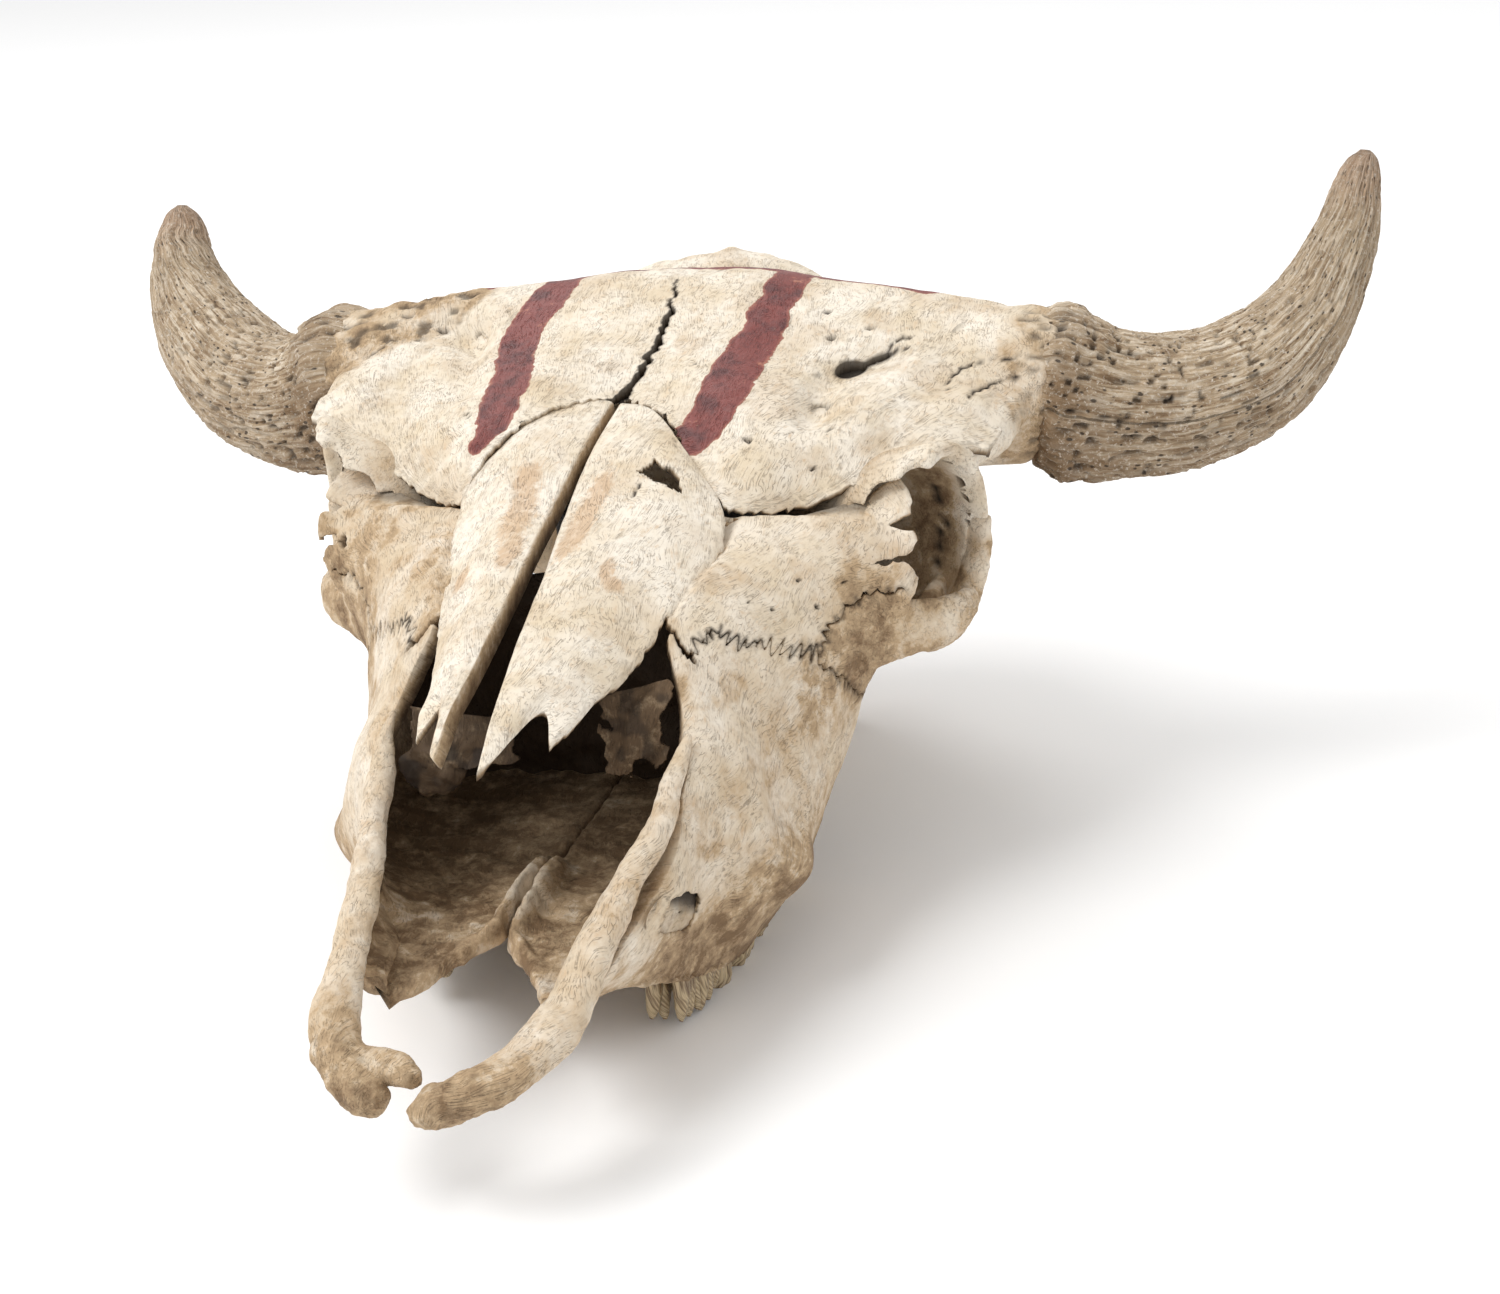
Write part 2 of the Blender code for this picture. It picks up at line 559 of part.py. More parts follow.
def jugal(side, word, look):
    """Cheekbone: the lower rim of the eye socket, a post up behind it and a process back."""
    front = [(94, -33.5, 115, 1.6, 2.5), (96, -28, 115, 2.2, 9), (99.5, -21, 113.5, 2.4, 15),
             (104, -14, 112, 2.6, 18.5), (109, -7.5, 110, 3, 18), (115.5, -1, 109, 5, 11)]
    rim = rim_stations(-118, RIM_SUTURE - 1.0, 9)
    body = bar(front + rim, 10, 22, wide_axis=SOCKET_OUT)
    back = bar([(121, 10, 104, 5, 5), (128, 28, 101, 5, 6), (133, 56, 94, 4.5, 6.5), (132, 76, 90, 4, 6),
                (128, 94, 86, 3, 4), (126, 98, 85, 1.5, 2)], 8, 9)
    piece = make_object("jugal_" + word, (sided(body[0], side), body[1]), look)
    add(piece, [cutter("cheek process " + word, (sided(back[0], side), back[1]), look)])
    return piece


def tooth(side, front, back, outside):
    """Worn cheek tooth: a squared column with a groove down its outer face."""
    long = (back - front) / 2 - SUTURE_GAP
    wide = MOLAR_HALF_WIDTH if back - front > 20.0 else PREMOLAR_HALF_WIDTH
    middle = (front + back) / 2
    edge = np.array([row[-1] for row in FACE], float)
    top = min(np.interp([front, middle, back], edge[:, 1], edge[:, 2])) - 2.2
    around = 12
    rings = []
    for level, share in ((TOOTH_FLOOR, 0.94), (TOOTH_FLOOR + 2.0, 1.0), (top, 0.97)):
        loop = ring((outside - wide, middle, level), long * share, wide * share, (0, 1, 0), (1, 0, 0), around, 3.2)
        groove = 1.6 * np.exp(-(((loop[:, 1] - middle) / (0.22 * long)) ** 2))
        loop[:, 0] -= groove * (loop[:, 0] > outside - wide)
        rings.append(loop)
    points, faces = tube(rings)
    return sided(points, side), faces


def concha(side):
    """Torn sheet of a scroll bone hanging inside the nose."""
    grid = [
        [(55, -112, 96), (50, -112, 88), (43, -111, 83), (38, -110, 86)],
        [(56, -98, 106), (49, -98, 96), (40, -97, 90), (33, -96, 95)],
        [(52, -78, 122), (46, -78, 108), (37, -77, 98), (29, -76, 104)],
        [(50, -56, 134), (45, -56, 116), (36, -55, 104), (27, -54, 112)],
        [(48, -36, 142), (44, -36, 122), (35, -35, 110), (27, -34, 118)],
    ]
    r, c = np.meshgrid(np.linspace(0.0, 4.0, 7), np.linspace(0.0, 3.0, 6), indexing="ij")
    outer = surface(grid, r, c)
    outer[..., 0] -= 6.0
    shape = plate(outer, normals_of(outer), 1.6)
    return sided(shape[0], side), shape[1]


def main():
    clear_scene()
    bone = material("weathered bone", BONE, 0.75)
    dark = material("stained inner bone", STAINED_BONE, 0.8)
    enamel = material("worn enamel", ENAMEL, 0.5)
    cranium(bone)
    for side, word in ((LEFT, "left"), (RIGHT, "right")):
        muzzle = LEFT_PREMAXILLA if side == LEFT else RIGHT_PREMAXILLA
        cheek = make_object("maxilla_" + word, maxilla(side), bone)
        front = make_object("premaxilla_" + word, bar(muzzle, 10, 18), bone)
        cut(cheek, [cutter("room for premaxilla " + word, bar(muzzle, 10, 18, grow=SUTURE_GAP), bone)])
        if side == RIGHT:
            add(front, [cutter("broken hook", bar(RIGHT_HOOK, 8, 6), bone)])
        make_object("nasal_" + word, nasal(side), bone)
        make_object("lacrimal_" + word, lacrimal(side), bone)
        jugal(side, word, bone)
        make_object("concha_" + word, concha(side), dark)
        for name, start, end, outside in TEETH:
            make_object("tooth_" + name + "_" + word, tooth(side, start, end, outside), enamel)


main()
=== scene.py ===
import math
from functools import partial

import bpy
import numpy as np
from mathutils import Matrix, Vector


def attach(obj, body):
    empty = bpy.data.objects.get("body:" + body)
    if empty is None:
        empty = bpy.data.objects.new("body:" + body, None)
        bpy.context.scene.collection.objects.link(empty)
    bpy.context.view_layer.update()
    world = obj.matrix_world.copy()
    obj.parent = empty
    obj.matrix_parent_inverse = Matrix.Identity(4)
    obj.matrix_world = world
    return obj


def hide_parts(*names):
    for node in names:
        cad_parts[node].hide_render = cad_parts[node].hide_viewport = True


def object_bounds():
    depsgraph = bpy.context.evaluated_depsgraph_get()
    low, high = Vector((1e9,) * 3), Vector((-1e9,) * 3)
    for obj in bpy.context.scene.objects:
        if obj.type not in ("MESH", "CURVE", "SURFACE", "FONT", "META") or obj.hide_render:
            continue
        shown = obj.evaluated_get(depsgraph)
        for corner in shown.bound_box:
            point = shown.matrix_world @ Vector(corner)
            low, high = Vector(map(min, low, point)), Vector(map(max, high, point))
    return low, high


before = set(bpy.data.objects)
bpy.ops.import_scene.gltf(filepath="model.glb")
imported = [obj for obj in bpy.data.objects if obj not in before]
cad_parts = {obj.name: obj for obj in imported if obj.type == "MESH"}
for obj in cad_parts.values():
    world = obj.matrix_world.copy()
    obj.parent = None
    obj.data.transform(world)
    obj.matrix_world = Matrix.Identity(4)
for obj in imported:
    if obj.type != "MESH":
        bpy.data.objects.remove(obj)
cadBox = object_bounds()

# Shapes are drawn in millimetres, nose towards -Y, with the teeth and processes at z = -5.
drawingToFloor = np.array([-2.9, 11.9, 5.0])
millimetre = 0.001
leftSide, rightSide = 1, -1
skyward = np.array([0.0, 0.0, 1.0])


# Curves and surfaces

def smoothStep(value, start, end):
    share = np.clip((value - start) / (end - start), 0.0, 1.0)
    return share * share * (3.0 - 2.0 * share)


def fallOff(value, start, end):
    return 1.0 - smoothStep(value, start, end)


def bell(value):
    return np.exp(-(value**2))


def padEnds(points):
    return np.concatenate([2 * points[:1] - points[1:2], points, 2 * points[-1:] - points[-2:-1]])


def splineWeights(places, count):
    places = np.asarray(places, float)
    index = np.clip(np.floor(places).astype(int), 0, count - 2)
    t = places - index
    weights = [-t + 2 * t**2 - t**3, 2 - 5 * t**2 + 3 * t**3, t + 4 * t**2 - 3 * t**3, t**3 - t**2]
    return index, np.stack(weights, -1) / 2


def curveAt(points, places):
    points = np.asarray(points, float)
    index, weights = splineWeights(places, len(points))
    padded = padEnds(points.reshape(len(points), -1))
    found = sum(weights[..., k, None] * padded[index + k] for k in range(4))
    return found.reshape(*index.shape, *points.shape[1:])


def surfaceAt(grid, rows, columns):
    grid = np.asarray(grid, float)
    padded = np.swapaxes(padEnds(np.swapaxes(padEnds(grid), 0, 1)), 0, 1)
    i, rowWeights = splineWeights(rows, grid.shape[0])
    j, columnWeights = splineWeights(columns, grid.shape[1])
    found = 0.0
    for a in range(4):
        for b in range(4):
            found = found + (rowWeights[..., a] * columnWeights[..., b])[..., None] * padded[i + a, j + b]
    return found


def unit(vector):
    return np.asarray(vector, float) / np.linalg.norm(vector)


def unitAcross(axis, vector):
    # the part of a direction that lies across the axis
    across = np.asarray(vector, float) - np.dot(vector, axis) * axis
    return across / np.linalg.norm(across)


def latticeNormals(points):
    normal = np.cross(np.gradient(points, axis=1), np.gradient(points, axis=0))
    return normal / np.maximum(np.linalg.norm(normal, axis=-1, keepdims=True), 1e-9)


def evened(values, times):
    for _ in range(times):
        values = values.copy()
        values[1:-1] = (values[:-2] + 2 * values[1:-1] + values[2:]) / 4
        values[:, 1:-1] = (values[:, :-2] + 2 * values[:, 1:-1] + values[:, 2:]) / 4
    return values


def noiseAt(points, size, seed=0):
    # smooth noise between -1 and 1, one swing about every `size` millimetres
    places = points / size + seed * 11.7
    cell = np.floor(places).astype(np.int64)
    share = places - cell
    share = share**3 * (share * (share * 6 - 15) + 10)
    total = np.zeros(points.shape[:-1])
    for dx in (0, 1):
        for dy in (0, 1):
            for dz in (0, 1):
                n = (cell[..., 0] + dx) * 73856093 ^ (cell[..., 1] + dy) * 19349663
                n = (n ^ (cell[..., 2] + dz) * 83492791 ^ seed * 7919) & 0x7FFFFFFF
                n = (n * 1103515245 + 12345) & 0x7FFFFFFF
                n = ((n >> 13) ^ n) * 60493 & 0x7FFFFFFF
                weight = share[..., 0] if dx else 1 - share[..., 0]
                weight = weight * (share[..., 1] if dy else 1 - share[..., 1])
                weight = weight * (share[..., 2] if dz else 1 - share[..., 2])
                total += weight * ((n >> 7 & 0xFFFF) / 32767.5 - 1.0)
    return total


def layeredNoise(points, size, layers, seed=0):
    total, weight = 0.0, 1.0
    for layer in range(layers):
        total = total + weight * noiseAt(points, size / 2**layer, seed + layer)
        weight *= 0.5
    return total


def walkedAlong(line):
    return np.concatenate([[0], np.cumsum(np.linalg.norm(np.diff(line, axis=0), axis=1))])


def nearestOnLine(points, line, reach):
    # distance to a polyline and how far along it the nearest point lies; far points are skipped
    line = np.asarray(line, float)
    best = np.full(len(points), 1e3)
    along = np.zeros(len(points))
    near = np.all((points > line.min(0) - reach) & (points < line.max(0) + reach), axis=1)
    if not near.any():
        return best, along
    some = points[near]
    found, walked, place = np.full(len(some), 1e3), 0.0, np.zeros(len(some))
    for a, b in zip(line[:-1], line[1:]):
        step = b - a
        length = np.linalg.norm(step)
        t = np.clip((some - a) @ step / max(length**2, 1e-9), 0, 1)
        distance = np.linalg.norm(some - a - t[:, None] * step, axis=1)
        closer = distance < found
        found[closer] = distance[closer]
        place[closer] = walked + t[closer] * length
        walked += length
    best[near], along[near] = found, place
    return best, along


def sided(points, side):
    # the right half is drawn from the left one, narrower along the snout and higher at the brow
    points = np.array(points, float)
    if side == leftSide:
        return points
    narrowing = smoothStep(points[..., 1], -100.0, -150.0)
    low = fallOff(points[..., 2], 100.0, 125.0)
    points[..., 0] *= -(1.0 - 0.2 * narrowing * low)
    points[..., 2] += 5.0 * narrowing * low
    brow = smoothStep(-points[..., 0], 112.0, 145.0) * smoothStep(points[..., 2], 150.0, 172.0)
    brow *= fallOff(points[..., 1], 70.0, 105.0)
    points[..., 2] += 9.0 * brow
    return points


# Meshes

noStripe = -30.0  # millimetres inside a painted stripe, for bone far from any


def shapeOf(points, quads, tris=None, grain=None, inside=None):
    points = np.asarray(points, float)
    count = len(points)
    return {
        "points": points,
        "quads": np.asarray(quads, np.int64).reshape(-1, 4),
        "tris": np.asarray(tris if tris is not None else [], np.int64).reshape(-1, 3),
        "grain": points[:, [1, 0, 2]].copy() if grain is None else np.asarray(grain, float),
        "inside": np.zeros(count) if inside is None else np.asarray(inside, float),
        "dark": np.zeros(count),
        "stain": np.zeros(count),
        "wear": np.zeros(count),
        "stripe": np.full(count, noStripe),
    }


def joined(shapes):
    keys = ("points", "grain", "inside", "dark", "stain", "wear", "stripe")
    whole = {key: np.concatenate([shape[key] for shape in shapes]) for key in keys}
    quads, tris, start = [], [], 0
    for shape in shapes:
        quads.append(shape["quads"] + start)
        tris.append(shape["tris"] + start)
        start += len(shape["points"])
    whole["quads"], whole["tris"] = np.concatenate(quads), np.concatenate(tris)
    return whole


def tubeShape(rings, grain=None):
    rings = np.asarray(rings, float)
    stations, around = rings.shape[:2]
    points = np.concatenate([rings.reshape(-1, 3), [rings[0].mean(0)], [rings[-1].mean(0)]])
    number = np.arange(stations * around).reshape(stations, around)
    right = np.roll(number, -1, axis=1)
    quads = np.stack([number[:-1], number[1:], right[1:], right[:-1]], -1).reshape(-1, 4)
    end = stations * around
    tris = [np.stack([np.full(around, end), number[0], right[0]], -1)]
    tris.append(np.stack([np.full(around, end + 1), right[-1], number[-1]], -1))
    if grain is None:
        steps = np.linalg.norm(np.diff(rings, axis=0), axis=2).mean(1)
        along = np.concatenate([[0], np.cumsum(steps)])
        turn = np.linalg.norm(rings - np.roll(rings, 1, axis=1), axis=2)
        across = np.cumsum(turn, axis=1)
        grain = np.stack([np.broadcast_to(along[:, None], across.shape), across, across * 0], -1)
    ends = [grain[0].mean(0), grain[-1].mean(0)]
    return shapeOf(points, quads, np.concatenate(tris), np.concatenate([grain.reshape(-1, 3), ends]))


def ringAt(centre, wide, tall, sideAxis, upAxis, around, squareness=2.0):
    angles = np.arange(around) * (2 * math.pi / around)
    c, s = np.cos(angles), np.sin(angles)
    x = np.sign(c) * np.abs(c) ** (2 / squareness) * wide
    y = np.sign(s) * np.abs(s) ** (2 / squareness) * tall
    return np.asarray(centre) + x[:, None] * np.asarray(sideAxis) + y[:, None] * np.asarray(upAxis)


def barRings(stations, around, steps, hint=(0.0, 0.0, 1.0), wideAxis=None, grow=0.0, first=0.0):
    stations = np.asarray(stations, float)
    line = curveAt(stations, np.linspace(first, len(stations) - 1, steps))
    centres, sizes = line[:, :3], np.maximum(line[:, 3:], 0.8) + grow
    heading = np.gradient(centres, axis=0)
    heading /= np.linalg.norm(heading, axis=1, keepdims=True)
    rings = []
    for centre, size, forward in zip(centres, sizes, heading):
        if wideAxis is None:
            sideAxis = np.cross(forward, hint)
        else:
            sideAxis = wideAxis - np.dot(wideAxis, forward) * forward
        sideAxis = sideAxis / np.linalg.norm(sideAxis)
        rings.append(ringAt(centre, size[0], size[1], sideAxis, np.cross(sideAxis, forward), around))
    return np.array(rings)


def plateShape(outer, inner, keep, grain):
    # closed plate from two lattices, with walls round every cell that is kept
    rows, columns = outer.shape[:2]
    number = np.arange(rows * columns).reshape(rows, columns)
    corners = number[:-1, :-1], number[:-1, 1:], number[1:, 1:], number[1:, :-1]
    a, b, c, d = (corner[keep] for corner in corners)
    count = rows * columns
    quads = [np.stack([a, b, c, d], -1), np.stack([d, c, b, a], -1) + count]
    padded = np.pad(keep, 1)
    beside = padded[:-2, 1:-1], padded[1:-1, 2:], padded[2:, 1:-1], padded[1:-1, :-2]
    for k in range(4):
        edge = keep & ~beside[k]
        first, second = corners[k][edge], corners[(k + 1) % 4][edge]
        quads.append(np.stack([second, first, first + count, second + count], -1))
    quads = np.concatenate(quads)
    used, quads = np.unique(quads, return_inverse=True)
    points = np.concatenate([outer.reshape(-1, 3), inner.reshape(-1, 3)])[used]
    grain = np.concatenate([grain.reshape(-1, 3)] * 2)[used]
    return shapeOf(points, quads.reshape(-1, 4), None, grain, (used >= count).astype(float))


def latticeGrain(points):
    along = np.cumsum(np.linalg.norm(np.diff(points, axis=0, prepend=points[:1]), axis=2), axis=0)
    across = np.cumsum(np.linalg.norm(np.diff(points, axis=1, prepend=points[:, :1]), axis=2), axis=1)
    return np.stack([along, across - across[:, across.shape[1] // 2:][:, :1], along * 0], -1)


def vertexNormals(shape):
    points = shape["points"]
    normals = np.zeros_like(points)
    for faces in (shape["quads"], shape["tris"]):
        if len(faces):
            corner = points[faces]
            last = corner[:, 3] if faces.shape[1] == 4 else corner[:, 0]
            normal = np.cross(corner[:, 2] - corner[:, 0], last - corner[:, 1])
            for k in range(faces.shape[1]):
                np.add.at(normals, faces[:, k], normal)
    if enclosedVolume(shape) < 0:
        normals = -normals
    return normals / np.maximum(np.linalg.norm(normals, axis=1, keepdims=True), 1e-9)


def enclosedVolume(shape):
    points, quads, tris = shape["points"], shape["quads"], shape["tris"]
    faces = np.concatenate([quads[:, [0, 1, 2]], quads[:, [0, 2, 3]], tris])
    a, b, c = points[faces[:, 0]], points[faces[:, 1]], points[faces[:, 2]]
    return float(np.einsum("ij,ij->i", a, np.cross(b, c)).sum() / 6)


def makeMesh(name, shape):
    quads, tris = shape["quads"], shape["tris"]
    if enclosedVolume(shape) < 0:
        quads, tris = quads[:, ::-1], tris[:, ::-1]
    mesh = bpy.data.meshes.new(name)
    points = (shape["points"] + drawingToFloor) * millimetre
    mesh.vertices.add(len(points))
    mesh.vertices.foreach_set("co", points.ravel().astype(np.float32))
    loops = np.concatenate([quads.ravel(), tris.ravel()]).astype(np.int32)
    mesh.loops.add(len(loops))
    mesh.loops.foreach_set("vertex_index", loops)
    starts = np.concatenate([np.arange(len(quads)) * 4, len(quads) * 4 + np.arange(len(tris)) * 3])
    mesh.polygons.add(len(starts))
    mesh.polygons.foreach_set("loop_start", starts.astype(np.int32))
    mesh.update(calc_edges=True)
    mesh.validate()
    mesh.shade_smooth()
    return mesh


def makePiece(name, shape, look, slotName, *nodes):
    low, high = (np.array(corner) * 1000 - drawingToFloor for corner in cadBox)
    shape["points"] = np.clip(shape["points"], low, high)  # it stays in the solids' box, on the floor
    mesh = makeMesh(name, shape)
    marks = np.stack([shape["stain"], shape["dark"], shape["wear"]], -1)
    for word, kind, values in (
        ("grain", "FLOAT_VECTOR", shape["grain"]),
        ("marks", "FLOAT_VECTOR", marks),
        ("stripe", "FLOAT", shape["stripe"]),
    ):
        layer = mesh.attributes.new(word, kind, "POINT")
        layer.data.foreach_set("vector" if kind == "FLOAT_VECTOR" else "value", values.astype(np.float32).ravel())
    mesh.materials.append(look)
    piece = bpy.data.objects.new(name, mesh)
    bpy.context.scene.collection.objects.link(piece)
    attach(piece, "root")
    if nodes:
        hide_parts(*nodes)
    triangles = 2 * len(shape["quads"]) + len(shape["tris"])
    print(f"{name}: {triangles} triangles")
    return piece


# Marks on the bone, shared by every piece

stainSpots = [  # x, y, z, radius, strength: brown patches, drawn for the left side
    (90, -80, 47, 20, 0.55), (84, -100, 42, 18, 0.4), (76, -108, 30, 20, 0.55), (62, -125, 24, 18, 0.55),
    (60, -140, 44, 14, 0.35), (105, -12, 106, 22, 0.75), (112, -4, 120, 16, 0.5), (96, -38, 100, 16, 0.4),
    (112, -8, 140, 12, 0.4), (100, -20, 132, 14, 0.3), (52, -92, 116, 10, 0.3), (80, -60, 90, 16, 0.3),
    (68, -70, 20, 30, 0.6), (72, -20, 22, 40, 0.6), (120, 30, 104, 18, 0.6), (20, -248, 40, 16, 0.5),
    (158, 108, 150, 22, 0.7), (150, 92, 192, 14, 0.25), (72, -92, 74, 12, 0.25),
]


def onLeft(points):
    return np.concatenate([np.abs(points[:, :1]), points[:, 1:]], axis=1)


def darken(shape, amount):
    shape["dark"] = np.maximum(shape["dark"], amount)


def stainAt(points):
    mirrored = onLeft(points)
    total = np.zeros(len(points))
    for x, y, z, radius, strength in stainSpots:
        distance = np.linalg.norm(mirrored - [x, y, z], axis=1) / radius
        total = np.maximum(total, strength * bell(distance))
    low = fallOff(points[:, 2], 5, 70)
    behind = smoothStep(points[:, 1], 100, 190) * fallOff(points[:, 2], 150, 215)
    mottled = 0.2 * smoothStep(layeredNoise(points, 15, 3, 33), 0, 0.6)
    return np.clip(total + 0.35 * low + 0.4 * behind + mottled, 0, 1)


def addRelief(shape, reliefs, seed):
    # pushes the surface in and out by noise: pairs of swing size and height, in millimetres
    normals = vertexNormals(shape)
    height = 0
    for k, (size, high) in enumerate(reliefs):
        height = height + high * layeredNoise(shape["points"], size, 2, seed + 5 * k)
    shape["points"] = shape["points"] + normals * height[:, None]
    return shape


def cutHole(shape, normals, centre, axis, wide, tall, depth, tilt=(0, 0, 1)):
    # oval pit seen along `axis`, with its long side along `tilt`
    axis = unit(axis)
    longWay = unitAcross(axis, tilt)
    shortWay = np.cross(axis, longWay)
    offset = shape["points"] - centre
    distance = np.sqrt((offset @ longWay / tall) ** 2 + (offset @ shortWay / wide) ** 2)
    level = np.abs(offset @ axis) < 14
    wobble = 0.12 * noiseAt(shape["points"], max(wide, 1.5), 77)
    share = fallOff(distance + wobble, 0.55, 1.1) * level
    lip = bell((distance - 1.25) / 0.25) * level * 0.35
    shape["points"] = shape["points"] - normals * (share * depth - lip)[:, None]
    # painted shade: the pit and its edge are darkened as if in shadow
    darken(shape, fallOff(distance + wobble, 0.65, 1.2) * level)


def cutCrack(shape, normals, line, width, depth, seed=0, reach=4, across=None, behind=22):
    # follows a line of points, or what lies straight behind it along the direction `across`
    line, points = np.asarray(line, float), shape["points"]
    if across is not None:
        across = unit(across)
        along = (line.mean(0) - points) @ across
        near = (along > -22) & (along < behind)
        points = np.where(near[:, None], points - (points @ across)[:, None] * across, 1e4)
        line = line - (line @ across)[:, None] * across
    distance, along = nearestOnLine(points, line, reach + width)
    total = np.linalg.norm(np.diff(line, axis=0), axis=1).sum()
    taper = np.sin(np.pi * np.clip(along / total, 0.03, 0.97)) ** 0.5
    ragged = 1.0 + 0.5 * noiseAt(shape["points"], 2.5, seed)
    half = 0.5 * width * taper * ragged
    share = fallOff(distance, half * 0.4, half + 0.5)
    shape["points"] = shape["points"] - normals * (share * depth * taper)[:, None]
    # painted shade: the crack is darkened as if in shadow
    darken(shape, fallOff(distance, half * 0.6, half + 0.3))


def zigzag(line, step, throw, seed=0, sideways=None):
    # walks along a line and throws every other point to the other side
    line = np.asarray(line, float)
    lengths = walkedAlong(line)
    places = np.arange(0, lengths[-1], step)
    flat = np.stack([np.interp(places, lengths, line[:, k]) for k in range(line.shape[1])], -1)
    heading = np.gradient(flat, axis=0)
    heading /= np.linalg.norm(heading, axis=1, keepdims=True)
    if sideways is None:
        across = np.stack([-heading[:, 1], heading[:, 0]], -1)
    else:
        across = np.cross(heading, sideways)
        across /= np.linalg.norm(across, axis=1, keepdims=True)
    random = np.random.default_rng(seed)
    swing = np.where(np.arange(len(flat)) % 2 == 0, 1.0, -1.0) * random.uniform(0.45, 1.0, len(flat))
    slide = heading * random.uniform(-0.35, 0.35, (len(flat), 1)) * step
    return flat + across * (swing * throw)[:, None] + slide


# Materials

def toLinear(hexText):
    channels = [int(hexText[i:i + 2], 16) / 255 for i in (1, 3, 5)]
    return tuple(c / 12.92 if c <= 0.04045 else ((c + 0.055) / 1.055) ** 2.4 for c in channels) + (1.0,)


def addNode(tree, kind, settings=None, links=None):
    # settings are the node's own or its sockets' values; a link from a node takes its result
    node = tree.nodes.new("ShaderNode" + kind)
    for key, value in (settings or {}).items():
        if key == "ramp":
            band = node.color_ramp
            while len(band.elements) < len(value):
                band.elements.new(0.5)
            for element, (place, colour) in zip(band.elements, value):
                element.position = place
                element.color = toLinear(colour) if isinstance(colour, str) else (colour, colour, colour, 1.0)
        elif isinstance(key, str) and hasattr(node, key):
            setattr(node, key, value)
        else:
            node.inputs[key].default_value = toLinear(value) if isinstance(value, str) else value
    for key, source in (links or {}).items():
        if isinstance(source, bpy.types.Node):
            source = next(socket for socket in source.outputs if socket.enabled)
        tree.links.new(source, node.inputs[key])
    return node


def newLook(name):
    look = bpy.data.materials.new(name)
    look.use_nodes = True
    look.node_tree.nodes.clear()
    return look, partial(addNode, look.node_tree)


def readMarks(add):
    # the grain's coordinates, the place in metres, and the strength of each kind of mark
    grain = add("Attribute", {"attribute_name": "grain"}).outputs["Vector"]
    marks = add("Attribute", {"attribute_name": "marks"}).outputs["Vector"]
    split = add("SeparateXYZ", links={"Vector": marks})
    return grain, add("TexCoord").outputs["Object"], *split.outputs


boneSettings = {
    "ivory": "#EFE5D5", "cream": "#DCCBB0", "tan": "#C2A784", "brown": "#806649", "deepBrown": "#261C14",
    "hairline": "#6B543C", "abraded": "#CAA985",
    "hairlineAlong": 7.0, "hairlineAcross": 1.1,  # millimetres between the weathering cracks
    "stainAll": 0.0, "roughness": 0.8, "ior": 1.5,
}
paintSettings = {
    "maroon": "#7F3B34", "darkMaroon": "#5A2725", "salmon": "#BC7A62",
    "raggedBy": 2.4,  # millimetres to either side of the stripe's edge
    "roughness": 0.46,
}


